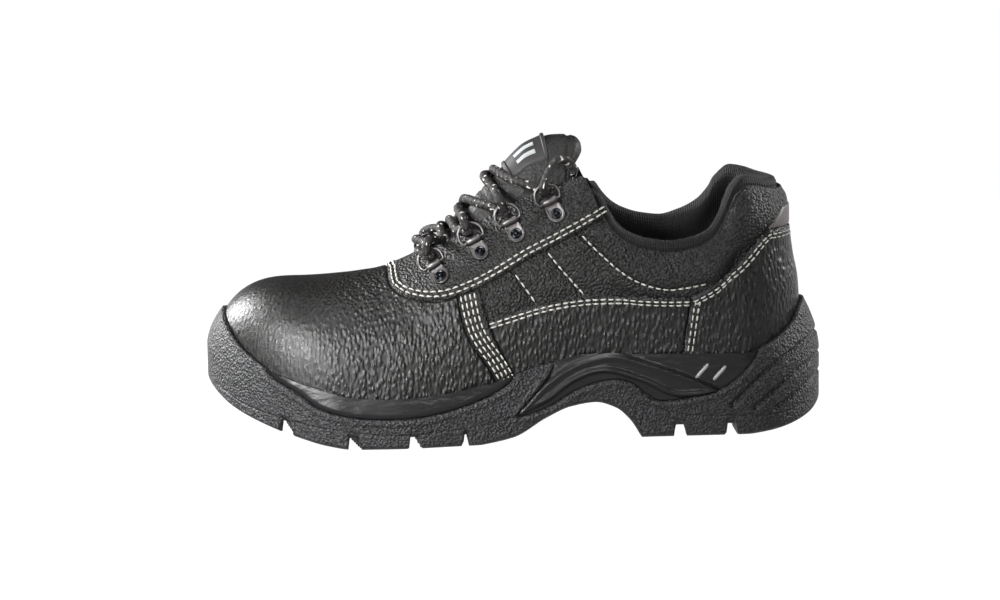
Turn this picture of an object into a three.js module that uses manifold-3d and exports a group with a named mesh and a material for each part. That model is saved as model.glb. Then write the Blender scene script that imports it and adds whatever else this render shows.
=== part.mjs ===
// A left safety sneaker, EU 42, standing empty on its sole.
// Frame: +Z up, the origin on the floor under the middle of the sole, the toe towards -X and the heel
// towards +X, the outer (lateral) side towards -Y and the inner (medial) side towards +Y. Millimetres.

import * as THREE from "three";
import { mergeVertices } from "three/addons/utils/BufferGeometryUtils.js";
import Module from "manifold-3d";

const wasm = await Module();
wasm.setup();

// Driving sizes of the whole shoe
const soleLength = 302;
const soleWidth = 103;
const upperLength = 288;
const upperWidth = 95;
const upperHeight = 122;
const upperSetback = 10;
const seatHeight = 29;
const heelLean = 10;
const throatWidth = 43;

// Thicknesses and clearances
const wall = 2;
const panel = 1.2;
const facingPanel = 1.8;
const strapPanel = 2.1;
const tabPanel = 1.6;
const gap = 0.3;
const seamGap = 0.4;
const insoleThickness = 4;
const collarPadding = 10;
const collarDepth = 36;
const collarRise = 5;
const liningGap = 0.9;
const collarPuff = 3.5;
const collarPuffReach = 30;
const tongueThickness = 7;
const badgeThickness = 1.4;
const badgeSeat = 0.6;

// Sole
const outsoleSkin = 1.9;
const outsoleProud = 1.2;
const lipThickness = 3;
const wallTop = 62;
const edgeRadius = 2.2;
const treadDepth = 4;
const notchHeight = 7.5;
const notchRoof = 3;
const notchReach = 14;
const grooveWidth = 5;
const channelWidth = 4;
const ribGrooveDepth = 1.3;
const ribGrooveWidth = 3.2;
const waveProud = 1.5;
const slashProud = 0.9;

// Laces and eyelets
const laceDiameter = 4.4;
const eyeletCount = 4;
const plateWidth = 8.6;
const plateLength = 10.5;
const plateThickness = 0.9;
const rivetRadius = 2.9;
const rivetHeight = 1.3;
const hingeRadius = 1.9;
const ringWire = 1.5;
const ringWidth = 12.4;
const ringReach = 10.5;
const ringClearance = 0.3;
const strandStart = 1.6;
const strandBend = 1.4;
const strandBendHeight = 5.6;
const endRise = 4.4;

// Numbers of mesh steps
const rowsUp = 7;
const soleSteps = 26;
const curveSteps = 24;
const laceSides = 6;
const meshTolerance = 0.05;

const LATERAL = -1;
const MEDIAL = 1;
const SIDES = [LATERAL, MEDIAL];

// The last, from heel (0) to toe tip (1). lateral and medial are half widths as shares of half the upper's
// width, spine is the ridge's shift to the inner side as a share of it, bottom and ridge are heights as
// shares of the seat's and the upper's height, and shoulder and side are the section's two exponents.
const last = [
  { at: 0.0, lateral: 0.66, medial: 0.66, spine: 0, bottom: 1.0, ridge: 1.56, shoulder: 3.0, side: 2.0 },
  { at: 0.16, lateral: 0.7, medial: 0.7, spine: 0, bottom: 1.0, ridge: 1.56, shoulder: 3.0, side: 2.0 },
  { at: 0.28, lateral: 0.7, medial: 0.67, spine: 0, bottom: 1.01, ridge: 1.5, shoulder: 2.9, side: 2.0 },
  { at: 0.35, lateral: 0.72, medial: 0.66, spine: 0, bottom: 0.99, ridge: 1.26, shoulder: 2.7, side: 2.0 },
  { at: 0.4, lateral: 0.75, medial: 0.67, spine: 0, bottom: 0.95, ridge: 1.14, shoulder: 2.6, side: 2.0 },
  { at: 0.45, lateral: 0.79, medial: 0.69, spine: 0, bottom: 0.87, ridge: 1.055, shoulder: 2.5, side: 2.0 },
  { at: 0.5, lateral: 0.84, medial: 0.73, spine: 0, bottom: 0.77, ridge: 0.965, shoulder: 2.5, side: 2.0 },
  { at: 0.55, lateral: 0.885, medial: 0.785, spine: 0, bottom: 0.67, ridge: 0.88, shoulder: 2.45, side: 2.05 },
  { at: 0.6, lateral: 0.93, medial: 0.845, spine: 0, bottom: 0.59, ridge: 0.795, shoulder: 2.4, side: 2.1 },
  { at: 0.65, lateral: 0.97, medial: 0.9, spine: 0, bottom: 0.54, ridge: 0.71, shoulder: 2.4, side: 2.15 },
  { at: 0.7, lateral: 1.0, medial: 0.95, spine: 0.005, bottom: 0.52, ridge: 0.66, shoulder: 2.45, side: 2.2 },
  { at: 0.78, lateral: 1.0, medial: 0.985, spine: 0.03, bottom: 0.52, ridge: 0.625, shoulder: 2.6, side: 2.4 },
  { at: 0.86, lateral: 0.95, medial: 0.96, spine: 0.07, bottom: 0.58, ridge: 0.612, shoulder: 2.8, side: 2.6 },
  { at: 0.93, lateral: 0.88, medial: 0.9, spine: 0.11, bottom: 0.74, ridge: 0.612, shoulder: 2.8, side: 2.6 },
  { at: 1.0, lateral: 0.8, medial: 0.83, spine: 0.15, bottom: 1.1, ridge: 0.612, shoulder: 2.8, side: 2.6 },
];

// How far the back line leans forward, as a share of heelLean, by height as a share of the upper's height.
const backLine = [
  { at: 0.24, lean: 0.4 },
  { at: 0.37, lean: 0.1 },
  { at: 0.51, lean: 0.08 },
  { at: 0.59, lean: 0.14 },
  { at: 0.705, lean: 0.4 },
  { at: 0.82, lean: 0.55 },
  { at: 0.9, lean: 0.56 },
  { at: 0.96, lean: 0.75 },
  { at: 1.0, lean: 1.0 },
];

// The top line of the leather from the heel (0) to the corner of the facing, as shares of the upper's height.
const throatCorner = 0.3715;
const throatFront = 0.649;
const throatRound = 0.04;
const topLine = [
  { at: 0.0, lateral: 0.968, medial: 0.968 },
  { at: 0.03, lateral: 0.975, medial: 0.975 },
  { at: 0.055, lateral: 0.989, medial: 0.989 },
  { at: 0.075, lateral: 0.994, medial: 0.994 },
  { at: 0.104, lateral: 0.967, medial: 0.972 },
  { at: 0.118, lateral: 0.926, medial: 0.95 },
  { at: 0.133, lateral: 0.857, medial: 0.905 },
  { at: 0.157, lateral: 0.785, medial: 0.85 },
  { at: 0.19, lateral: 0.752, medial: 0.812 },
  { at: 0.229, lateral: 0.74, medial: 0.79 },
  { at: 0.264, lateral: 0.75, medial: 0.8 },
  { at: 0.299, lateral: 0.779, medial: 0.825 },
  { at: 0.319, lateral: 0.811, medial: 0.852 },
  { at: 0.337, lateral: 0.865, medial: 0.893 },
  { at: 0.351, lateral: 0.926, medial: 0.94 },
  { at: 0.361, lateral: 0.984, medial: 0.985 },
  { at: throatCorner, lateral: 1.035, medial: 1.035 },
];

// Half the throat's opening as a share of half its width at the corner.
const throatLine = [
  { at: throatCorner, open: 1.0 },
  { at: 0.45, open: 0.84 },
  { at: 0.55, open: 0.71 },
  { at: throatFront, open: 0.6 },
];

// Stretches of stations along the upper: each ends at a share of the length and has a number of steps.
const upperStretches = [
  { to: 0.115, steps: 6, ease: "start" },
  { to: 0.175, steps: 4, ease: "none" },
  { to: 0.31, steps: 4, ease: "none" },
  { to: throatCorner, steps: 4, ease: "none" },
  { to: throatFront - throatRound, steps: 6, ease: "none" },
  { to: throatFront, steps: 4, ease: "end" },
  { to: 0.85, steps: 4, ease: "none" },
  { to: 1.0, steps: 7, ease: "end" },
];

// The sole's outline, from heel (0) to toe (1), as shares of half the sole's width.
const soleOutline = [
  { at: 0.0, lateral: 0.66, medial: 0.66, spine: 0 },
  { at: 0.16, lateral: 0.72, medial: 0.72, spine: 0 },
  { at: 0.28, lateral: 0.725, medial: 0.72, spine: 0 },
  { at: 0.38, lateral: 0.76, medial: 0.72, spine: 0 },
  { at: 0.5, lateral: 0.85, medial: 0.77, spine: 0 },
  { at: 0.6, lateral: 0.935, medial: 0.855, spine: 0 },
  { at: 0.7, lateral: 1.0, medial: 0.95, spine: 0.005 },
  { at: 0.78, lateral: 1.0, medial: 0.97, spine: 0.025 },
  { at: 0.86, lateral: 0.95, medial: 0.93, spine: 0.065 },
  { at: 0.93, lateral: 0.87, medial: 0.87, spine: 0.1 },
  { at: 1.0, lateral: 0.8, medial: 0.8, spine: 0.14 },
];

// Height of the sole's underside at its edge and of the top of its wall, as shares of the wall's top.
const soleProfile = [
  { at: 0.0, under: 0.26, top: 1.0 },
  { at: 0.013, under: 0.155, top: 0.97 },
  { at: 0.033, under: 0.092, top: 0.86 },
  { at: 0.068, under: 0.042, top: 0.76 },
  { at: 0.106, under: 0.012, top: 0.68 },
  { at: 0.13, under: 0.0, top: 0.655 },
  { at: 0.22, under: 0.0, top: 0.66 },
  { at: 0.3, under: 0.0, top: 0.67 },
  { at: 0.38, under: 0.0, top: 0.685 },
  { at: 0.47, under: 0.0, top: 0.6 },
  { at: 0.55, under: 0.0, top: 0.485 },
  { at: 0.62, under: 0.0, top: 0.425 },
  { at: 0.69, under: 0.0, top: 0.4 },
  { at: 0.765, under: 0.0, top: 0.41 },
  { at: 0.808, under: 0.03, top: 0.46 },
  { at: 0.858, under: 0.095, top: 0.53 },
  { at: 0.904, under: 0.165, top: 0.61 },
  { at: 0.954, under: 0.265, top: 0.77 },
  { at: 0.985, under: 0.38, top: 0.93 },
  { at: 1.0, under: 0.48, top: 1.0 },
];

// How the wall draws in from the outline to its lip: rise is the share of its height, and in is the share
// of the way in.
const wallSection = [
  { rise: 0.45, in: 0.0 },
  { rise: 0.65, in: 0.18 },
  { rise: 0.85, in: 0.58 },
  { rise: 1.0, in: 1.0 },
];

// Side outlines on the sole: along is a share of its length from the heel, up is a share of the wall's top.
const archLine = [
  { along: 0.585, up: -0.02 },
  { along: 0.512, up: 0.047 },
  { along: 0.457, up: 0.19 },
  { along: 0.417, up: 0.27 },
  { along: 0.377, up: 0.295 },
  { along: 0.344, up: 0.245 },
  { along: 0.32, up: 0.14 },
  { along: 0.3, up: -0.02 },
];
const floorLine = [
  { along: -0.02, up: 0.45 },
  { along: 0.03, up: 0.3 },
  { along: 0.08, up: 0.2 },
  { along: 0.26, up: 0.19 },
  { along: 0.31, up: 0.33 },
  { along: 0.345, up: 0.4 },
  { along: 0.4, up: 0.405 },
  { along: 0.45, up: 0.34 },
  { along: 0.52, up: 0.22 },
  { along: 0.6, up: 0.175 },
  { along: 0.77, up: 0.175 },
  { along: 0.86, up: 0.24 },
  { along: 0.93, up: 0.375 },
  { along: 1.02, up: 0.64 },
];
const forefootLip = [
  { along: 0.91, up: 0.65 },
  { along: 0.9, up: 0.56 },
  { along: 0.855, up: 0.43 },
  { along: 0.82, up: 0.32 },
  { along: 0.765, up: 0.25 },
  { along: 0.7, up: 0.232 },
  { along: 0.64, up: 0.255 },
  { along: 0.58, up: 0.325 },
  { along: 0.53, up: 0.43 },
  { along: 0.505, up: 0.55 },
  { along: 0.51, up: 0.75 },
  { along: 0.9, up: 0.75 },
];
const waistPanel = [
  { along: 0.44, up: 0.8 },
  { along: 0.445, up: 0.585 },
  { along: 0.47, up: 0.42 },
  { along: 0.505, up: 0.215 },
  { along: 0.455, up: 0.27 },
  { along: 0.41, up: 0.39 },
  { along: 0.36, up: 0.465 },
  { along: 0.32, up: 0.44 },
  { along: 0.275, up: 0.29 },
  { along: 0.18, up: 0.3 },
  { along: 0.14, up: 0.345 },
  { along: 0.11, up: 0.48 },
  { along: 0.085, up: 0.7 },
  { along: 0.085, up: 0.8 },
];
const wave = [
  { along: 0.5, up: 0.245 },
  { along: 0.46, up: 0.45 },
  { along: 0.41, up: 0.6 },
  { along: 0.35, up: 0.66 },
  { along: 0.3, up: 0.58 },
  { along: 0.24, up: 0.43 },
  { along: 0.205, up: 0.32 },
  { along: 0.27, up: 0.33 },
  { along: 0.32, up: 0.47 },
  { along: 0.36, up: 0.535 },
  { along: 0.41, up: 0.475 },
  { along: 0.455, up: 0.33 },
];
const slashes = [
  { along: 0.186, up: 0.46 },
  { along: 0.158, up: 0.46 },
];
const slashLength = 8;
const slashWidth = 2;
const slashAngle = 0.9;

// Diagonal grooves round the heel: each runs through these side-view points.
const heelGrooves = [
  [{ along: 0.155, up: 0.24 }, { along: 0.092, up: 0.52 }, { along: 0.02, up: 0.7 }],
  [{ along: 0.117, up: 0.22 }, { along: 0.06, up: 0.44 }, { along: 0.005, up: 0.56 }],
  [{ along: 0.083, up: 0.2 }, { along: 0.032, up: 0.35 }, { along: -0.005, up: 0.42 }],
];

// Grooves across the tread, by the share of the sole's length where they reach the outer edge.
const treadGrooves = [
  { along: 0.87, turn: -0.2 },
  { along: 0.765, turn: -0.2 },
  { along: 0.67, turn: -0.1 },
  { along: 0.585, turn: 0.08 },
  { along: 0.24, turn: 0.12 },
  { along: 0.155, turn: 0.0 },
];
const treadChannels = [
  { from: 0.585, to: 0.9, across: 0.3 },
  { from: 0.585, to: 0.9, across: -0.3 },
  { from: 0.1, to: 0.31, across: 0.25 },
  { from: 0.1, to: 0.31, across: -0.25 },
];

// Seams of the upper in side view: along is a share of the upper's length from its back, up is a share of
// its height.
const facingSeam = [
  { along: 0.705, up: 0.75 },
  { along: 0.704, up: 0.63 },
  { along: 0.694, up: 0.6 },
  { along: 0.673, up: 0.577 },
  { along: 0.639, up: 0.566 },
  { along: 0.604, up: 0.575 },
  { along: 0.5625, up: 0.61 },
  { along: 0.519, up: 0.66 },
  { along: 0.467, up: 0.73 },
  { along: 0.415, up: 0.79 },
  { along: 0.363, up: 0.855 },
  { along: 0.33, up: 0.9 },
];
const strapFront = [
  { along: 0.595, up: 0.66 },
  { along: 0.578, up: 0.45 },
  { along: 0.54, up: 0.3 },
];
const strapBack = [
  { along: 0.557, up: 0.64 },
  { along: 0.537, up: 0.46 },
  { along: 0.507, up: 0.3 },
];
const sidePanelTop = [
  { along: 0.54, up: 0.49 },
  { along: 0.503, up: 0.514 },
  { along: 0.451, up: 0.547 },
  { along: 0.39, up: 0.568 },
  { along: 0.33, up: 0.572 },
  { along: 0.261, up: 0.564 },
  { along: 0.195, up: 0.56 },
];
const counterLine = [
  { along: 0.203, up: 0.16 },
  { along: 0.195, up: 0.56 },
  { along: 0.166, up: 0.596 },
  { along: 0.14, up: 0.639 },
  { along: 0.114, up: 0.693 },
  { along: 0.0875, up: 0.761 },
  { along: 0.0695, up: 0.804 },
  { along: 0.05, up: 0.815 },
  { along: -0.05, up: 0.8 },
];
const heelTabLine = [
  { along: 0.062, up: 0.822 },
  { along: 0.037, up: 0.9 },
  { along: -0.05, up: 0.9 },
  { along: -0.05, up: 0.808 },
  { along: 0.048, up: 0.822 },
];

// The tongue's ridge, from under the vamp to its free end: along and up are shares of the upper's length
// and height, half is its half width as a share of half the throat's width, and drop is how far its sides
// come down, as a share of the upper's height.
const tongueLine = [
  { along: 0.7326, up: 0.578, half: 0.62, drop: 0.04 },
  { along: 0.691, up: 0.619, half: 0.6, drop: 0.06 },
  { along: 0.6493, up: 0.684, half: 0.5, drop: 0.08 },
  { along: 0.6233, up: 0.75, half: 0.53, drop: 0.11 },
  { along: 0.6062, up: 0.795, half: 0.56, drop: 0.14 },
  { along: 0.5924, up: 0.827, half: 0.6, drop: 0.16 },
  { along: 0.576, up: 0.862, half: 0.64, drop: 0.185 },
  { along: 0.5608, up: 0.914, half: 0.67, drop: 0.21 },
  { along: 0.5486, up: 0.961, half: 0.69, drop: 0.235 },
  { along: 0.5302, up: 1.002, half: 0.71, drop: 0.25 },
  { along: 0.5146, up: 1.041, half: 0.73, drop: 0.265 },
  { along: 0.5, up: 1.077, half: 0.75, drop: 0.275 },
  { along: 0.4861, up: 1.111, half: 0.77, drop: 0.285 },
  { along: 0.4688, up: 1.147, half: 0.79, drop: 0.295 },
  { along: 0.449, up: 1.169, half: 0.81, drop: 0.305 },
  { along: 0.4354, up: 1.181, half: 0.82, drop: 0.305 },
  { along: 0.4201, up: 1.188, half: 0.83, drop: 0.3 },
  { along: 0.4028, up: 1.189, half: 0.83, drop: 0.29 },
  { along: 0.3819, up: 1.18, half: 0.8, drop: 0.27 },
  { along: 0.3694, up: 1.159, half: 0.75, drop: 0.24 },
  { along: 0.366, up: 1.136, half: 0.7, drop: 0.21 },
];
const badgeFrom = 0.506;
const badgeTo = 0.434;
const badgeSpread = 0.62;

// Where the rivets of the eyelets sit, as shares of the upper's length and height.
const rivetLine = [
  { along: 0.6155, up: 0.656 },
  { along: 0.5486, up: 0.749 },
  { along: 0.488, up: 0.82 },
  { along: 0.42, up: 0.8975 },
];

// Places worked out from the driving sizes
const backX = soleLength / 2 - upperSetback;
const halfUpper = upperWidth / 2;
const halfSole = soleWidth / 2;
const halfThroat = throatWidth / 2;
const soleX = (share) => soleLength / 2 - share * soleLength;
const lastX = (share) => backX - share * upperLength;
const clamp = (value, low, high) => Math.min(high, Math.max(low, value));
const mix = (a, b, t) => a + (b - a) * t;
const sideName = (side) => (side === LATERAL ? "lateral" : "medial");

// A smooth curve through one column of a table: cubic pieces that never overshoot their ends.
function column(table, key) {
  const x = table.map((row) => row.at);
  const y = table.map((row) => row[key]);
  const end = x.length - 1;
  const slope = x.slice(1).map((v, i) => (y[i + 1] - y[i]) / (v - x[i]));
  const tangent = y.map((_, i) => {
    if (i === 0) return slope[0];
    if (i === end) return slope[end - 1];
    const product = slope[i - 1] * slope[i];
    return product <= 0 ? 0 : (2 * product) / (slope[i - 1] + slope[i]);
  });
  return (value) => {
    const t = clamp(value, x[0], x[end]);
    let i = 0;
    while (i < end - 1 && t > x[i + 1]) i++;
    const width = x[i + 1] - x[i];
    const u = (t - x[i]) / width;
    const h = u * u * (3 - 2 * u);
    const left = u * (1 - u) * (1 - u) * width * tangent[i];
    const right = -u * u * (1 - u) * width * tangent[i + 1];
    return y[i] * (1 - h) + y[i + 1] * h + left + right;
  };
}

const lastHalf = { [LATERAL]: column(last, "lateral"), [MEDIAL]: column(last, "medial") };
const lastSpine = column(last, "spine");
const lastBottom = column(last, "bottom");
const lastRidge = column(last, "ridge");
const lastShoulder = column(last, "shoulder");
const lastSide = column(last, "side");
const leanAt = column(backLine, "lean");
const topAt = { [LATERAL]: column(topLine, "lateral"), [MEDIAL]: column(topLine, "medial") };
const openAt = column(throatLine, "open");
const soleHalf = { [LATERAL]: column(soleOutline, "lateral"), [MEDIAL]: column(soleOutline, "medial") };
const soleSpine = column(soleOutline, "spine");
const underAt = column(soleProfile, "under");
const floorRows = floorLine.map(({ along, up }) => ({ at: along, up }));
const floorAt = column(floorRows, "up");
const wallTopAt = column(soleProfile, "top");

// Rounded plan at the heel (a circle) and at the toe (a blunt curve), as a factor on the half width.
const heelRound = 0.115;
const toeRound = 0.2;
const toeDrop = 0.14;
function planRounding(share) {
  const atHeel = clamp(1 - share / heelRound, 0, 1);
  const atToe = clamp((share - 1 + toeRound) / toeRound, 0, 1);
  return Math.sqrt(1 - atHeel ** 2) * (1 - atToe ** 2.3) ** (1 / 2.1);
}

// Height of the toe box near its tip, as a factor on the ridge's height over the bottom.
function toeDome(share) {
  const atToe = clamp((share - 1 + toeDrop) / toeDrop, 0, 1);
  return (1 - atToe ** 3) ** (1 / 2.6);
}

const bottomOf = (share) => lastBottom(share) * seatHeight;
const ridgeOf = (share) => {
  const low = bottomOf(share);
  return low + (lastRidge(share) * upperHeight - low) * toeDome(share);
};
const halfOf = (share, side) => lastHalf[side](share) * halfUpper * planRounding(share);
const spineOf = (share) => lastSpine(share) * halfUpper;
const leanFade = (share) => clamp(1 - share / 0.3, 0, 1) ** 2;
const leanOf = (share, height) => leanAt(height / upperHeight) * heelLean * leanFade(share);

// Half the throat's opening: it narrows evenly and closes in a round front.
function openingOf(share) {
  const round = clamp((share - throatFront + throatRound) / throatRound, 0, 1);
  return openAt(share) * halfThroat * Math.sqrt(1 - round * round);
}

// Height of the upper's top edge: the ridge where it is closed, the throat's edge, or the collar's line.
function edgeOf(share, side) {
  const low = bottomOf(share);
  const high = ridgeOf(share);
  if (share >= throatFront) return high;
  if (share <= throatCorner) return topAt[side](share) * upperHeight;
  const narrowed = openingOf(share) / halfOf(share, side);
  return low + (high - low) * (1 - narrowed ** lastSide(share)) ** (1 / lastShoulder(share));
}

// Half breadth of the upper at a height: a superellipse section, with the padded collar standing out.
function halfBreadth(share, side, height) {
  const low = bottomOf(share);
  const high = ridgeOf(share);
  const rise = clamp((height - low) / Math.max(high - low, 1e-6), 0, 1);
  const plain = halfOf(share, side) * (1 - rise ** lastShoulder(share)) ** (1 / lastSide(share));
  const below = clamp((edgeOf(share, side) - height) / collarPuffReach, 0, 1);
  const padded = share < throatCorner ? Math.sin(Math.PI * below) ** 2 : 0;
  const settle = clamp((throatCorner - share) / 0.06, 0, 1);
  return plain + collarPuff * padded * settle * planRounding(share);
}

// The upper's section at a station, from its bottom to its edge, as points evenly spaced in angle.
const sections = new Map();
function section(share, side) {
  const key = share.toFixed(6) + side;
  if (sections.has(key)) return sections.get(key);
  const low = bottomOf(share);
  const high = ridgeOf(share);
  const edge = edgeOf(share, side);
  const top = clamp((edge - low) / Math.max(high - low, 1e-6), 0, 1);
  const shoulder = lastShoulder(share);
  const end = Math.asin(top ** (shoulder / 2));
  const points = [];
  const along = [];
  for (let i = 0; i <= curveSteps; i++) {
    const angle = (end * i) / curveSteps;
    const height = low + (high - low) * Math.sin(angle) ** (2 / shoulder);
    const breadth = i === curveSteps && share >= throatFront ? 0 : halfBreadth(share, side, height);
    const x = lastX(share) - leanOf(share, height);
    points.push(new THREE.Vector3(x, spineOf(share) + side * breadth, height));
    along.push(i === 0 ? 0 : along[i - 1] + points[i].distanceTo(points[i - 1]));
  }
  const made = { points, along, length: along[curveSteps] };
  sections.set(key, made);
  return made;
}

// The point of a section at a share of its length from the bottom.
function onSection({ points, along, length }, share) {
  const target = clamp(share, 0, 1) * length;
  let i = 1;
  while (i < curveSteps && along[i] < target) i++;
  const step = along[i] - along[i - 1];
  const t = step > 1e-9 ? (target - along[i - 1]) / step : 1;
  return points[i - 1].clone().lerp(points[i], t);
}

// The upper's outward normal, the same from both sides on the back line and on the closed ridge.
function sideNormal(share, side, up) {
  const reach = 0.003;
  const rise = 0.03;
  const forward = onSection(section(Math.min(1, share + reach), side), up);
  const along = forward.sub(onSection(section(Math.max(0, share - reach), side), up));
  const here = section(share, side);
  const upward = onSection(here, up + rise).sub(onSection(here, up - rise));
  return upward.cross(along).multiplyScalar(-side).normalize();
}
function normalAt(share, side, up) {
  if (share >= 1) return new THREE.Vector3(-1, 0, 0);
  const normal = sideNormal(share, side, up);
  if (share <= 0 || (share >= throatFront && up >= 1)) {
    normal.add(sideNormal(share, -side, up));
    normal.y = 0;
  }
  return normal.normalize();
}

// A point of the upper's surface moved out by an offset.
function surface(share, side, up, offset) {
  return onSection(section(share, side), up).addScaledVector(normalAt(share, side, up), offset);
}

// Shares of the upper's stations.
function stations(stretches) {
  const found = [0];
  let from = 0;
  for (const { to, steps, ease } of stretches) {
    for (let i = 1; i <= steps; i++) {
      const t = i / steps;
      const eased = ease === "end" ? Math.sin((t * Math.PI) / 2) : 1 - Math.cos((t * Math.PI) / 2);
      found.push(i === steps ? to : mix(from, to, ease === "none" ? t : eased));
    }
    from = to;
  }
  return found;
}
const upperStations = stations(upperStretches);

// Collects triangles, sharing equal points and dropping those without area.
class Skin {
  constructor() {
    this.points = [];
    this.faces = [];
    this.known = new Map();
  }
  vertex(p) {
    const key = [p.x, p.y, p.z].map((v) => Math.round(v * 1e4)).join();
    if (!this.known.has(key)) {
      this.known.set(key, this.points.length / 3);
      this.points.push(p.x, p.y, p.z);
    }
    return this.known.get(key);
  }
  triangle(a, b, c) {
    const [i, j, k] = [a, b, c].map((p) => this.vertex(p));
    if (i !== j && j !== k && k !== i) this.faces.push(i, j, k);
  }
  quad(a, b, c, d, flip) {
    if (flip) [b, d] = [d, b];
    this.triangle(a, b, c);
    this.triangle(a, c, d);
  }
  // A sheet of rows of points; flip turns it to face the other way.
  sheet(rows, flip) {
    for (let i = 0; i + 1 < rows.length; i++)
      for (let j = 0; j + 1 < rows[i].length; j++)
        this.quad(rows[i][j], rows[i + 1][j], rows[i + 1][j + 1], rows[i][j + 1], flip);
  }
  solid() {
    const made = new wasm.Manifold(
      new wasm.Mesh({
        numProp: 3,
        vertProperties: new Float32Array(this.points),
        triVerts: new Uint32Array(this.faces),
      }),
    );
    if (made.volume() > 0) return made;
    for (let i = 0; i < this.faces.length; i += 3)
      [this.faces[i], this.faces[i + 1]] = [this.faces[i + 1], this.faces[i]];
    return this.solid();
  }
}

// A three.js geometry as a manifold solid.
function solidOf(geometry) {
  const bare = geometry.index ? geometry.toNonIndexed() : geometry.clone();
  bare.deleteAttribute("normal");
  bare.deleteAttribute("uv");
  const merged = mergeVertices(bare, 1e-4);
  return new wasm.Manifold(
    new wasm.Mesh({
      numProp: 3,
      vertProperties: new Float32Array(merged.attributes.position.array),
      triVerts: new Uint32Array(merged.index.array),
    }),
  );
}

// A manifold solid as a three.js geometry.
function geometryOf(solid) {
  const { numProp, numVert, vertProperties, triVerts } = solid.getMesh();
  const positions = new Float32Array(numVert * 3);
  for (let i = 0; i < numVert; i++)
    positions.set(vertProperties.subarray(i * numProp, i * numProp + 3), i * 3);
  const geometry = new THREE.BufferGeometry();
  geometry.setAttribute("position", new THREE.BufferAttribute(positions, 3));
  geometry.setIndex(new THREE.BufferAttribute(new Uint32Array(triVerts), 1));
  geometry.computeVertexNormals();
  return geometry;
}

// The upper's wall between two offsets from its surface, open underneath, at the collar and at the throat.
function wallBetween(inner, outer) {
  const skin = new Skin();
  const steps = Array.from({ length: rowsUp + 1 }, (_, j) => j / rowsUp);
  for (const side of SIDES) {
    const outside = upperStations.map((a) => steps.map((q) => surface(a, side, q, outer)));
    const inside = upperStations.map((a) => steps.map((q) => surface(a, side, q, inner)));
    const flip = side === MEDIAL;
    skin.sheet(outside, flip);
    skin.sheet(inside, !flip);
    upperStations.slice(0, -1).forEach((a, i) => {
      skin.quad(outside[i][0], inside[i][0], inside[i + 1][0], outside[i + 1][0], flip);
      if (a < throatFront) {
        const [p, q] = [outside[i][rowsUp], outside[i + 1][rowsUp]];
        skin.quad(p, q, inside[i + 1][rowsUp], inside[i][rowsUp], flip);
      }
    });
  }
  return skin.solid();
}

// The whole form of the upper, closed at its bottom and its top, grown by an offset.
function lastForm(offset) {
  const skin = new Skin();
  const steps = Array.from({ length: rowsUp + 1 }, (_, j) => j / rowsUp);
  const grid = SIDES.map((side) =>
    upperStations.map((a) =>
      steps.map((q, j) => {
        const p = surface(a, side, q, offset);
        if (j === 0) p.z -= gap;
        return p;
      }),
    ),
  );
  grid.forEach((rows, s) => skin.sheet(rows, s === 1));
  for (const j of [0, rowsUp]) {
    const across = grid[0].map((row, i) => [row[j], grid[1][i][j]]);
    skin.sheet(across, j === 0);
  }
  return skin.solid();
}

// Whether a point lies in the upper's form: positive inside.
function insideUpper(x, y, z) {
  let share = clamp((backX - x) / upperLength, 0, 1);
  for (let i = 0; i < 6; i++) share = clamp((backX - leanOf(share, z) - x) / upperLength, -0.05, 1.05);
  if (share < 0 || share > 1) return -1;
  const across = y - spineOf(share);
  return halfBreadth(share, across < 0 ? LATERAL : MEDIAL, z) - Math.abs(across);
}

// The sole's outline in plan, with its outward normal, at a step from heel (0) to toe (1).
const solePlan = (step, side) => {
  const share = (1 - Math.cos(Math.PI * step)) / 2;
  const half = soleHalf[side](share) * halfSole * planRounding(share);
  return new THREE.Vector2(soleX(share), soleSpine(share) * halfSole + side * half);
};
function soleNormal(step, side) {
  if (step <= 0) return new THREE.Vector2(1, 0);
  if (step >= 1) return new THREE.Vector2(-1, 0);
  const reach = Math.min(0.01, step, 1 - step);
  const run = solePlan(step + reach, side).sub(solePlan(step - reach, side));
  return new THREE.Vector2(run.y, -run.x).multiplyScalar(side).normalize();
}

// How far in from the outline the lip of the wall lies: it stands off the upper by the lip's thickness.
function lipInset(point, normal, height) {
  const depth = (d) => insideUpper(point.x - normal.x * d, point.y - normal.y * d, height);
  const most = 30;
  let far = 0;
  while (far < most && depth(far) < 0) far += 0.5;
  let near = Math.max(0, far - 0.5);
  for (let i = 0; i < 12; i++) {
    const middle = (near + far) / 2;
    if (depth(middle) < 0) near = middle;
    else far = middle;
  }
  return Math.max(0, far - lipThickness);
}

// The whole sole as a closed form grown sideways by an offset and upwards by a rise, before the upper is
// cut out of it.
function soleForm(offset, rise = 0) {
  const skin = new Skin();
  const grid = SIDES.map((side) =>
    Array.from({ length: soleSteps + 1 }, (_, k) => {
      const step = k / soleSteps;
      const share = (1 - Math.cos(Math.PI * step)) / 2;
      const plan = solePlan(step, side);
      const normal = soleNormal(step, side);
      const low = underAt(share) * wallTop;
      const high = wallTopAt(share) * wallTop;
      const inset = lipInset(plan, normal, high);
      const ring = (distance, height) =>
        new THREE.Vector3(
          plan.x + normal.x * (offset - distance),
          plan.y + normal.y * (offset - distance),
          height,
        );
      return [
        ring(edgeRadius, low),
        ring(0, low + edgeRadius),
        ...wallSection.map((row) => ring(row.in * inset, mix(low, high + rise, row.rise))),
      ];
    }),
  );
  grid.forEach((rows, s) => skin.sheet(rows, s === 1));
  const topRow = wallSection.length + 1;
  for (const j of [0, topRow]) {
    const across = grid[0].map((row, i) => [row[j], grid[1][i][j]]);
    skin.sheet(across, j === 0);
  }
  return skin.solid();
}

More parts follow.
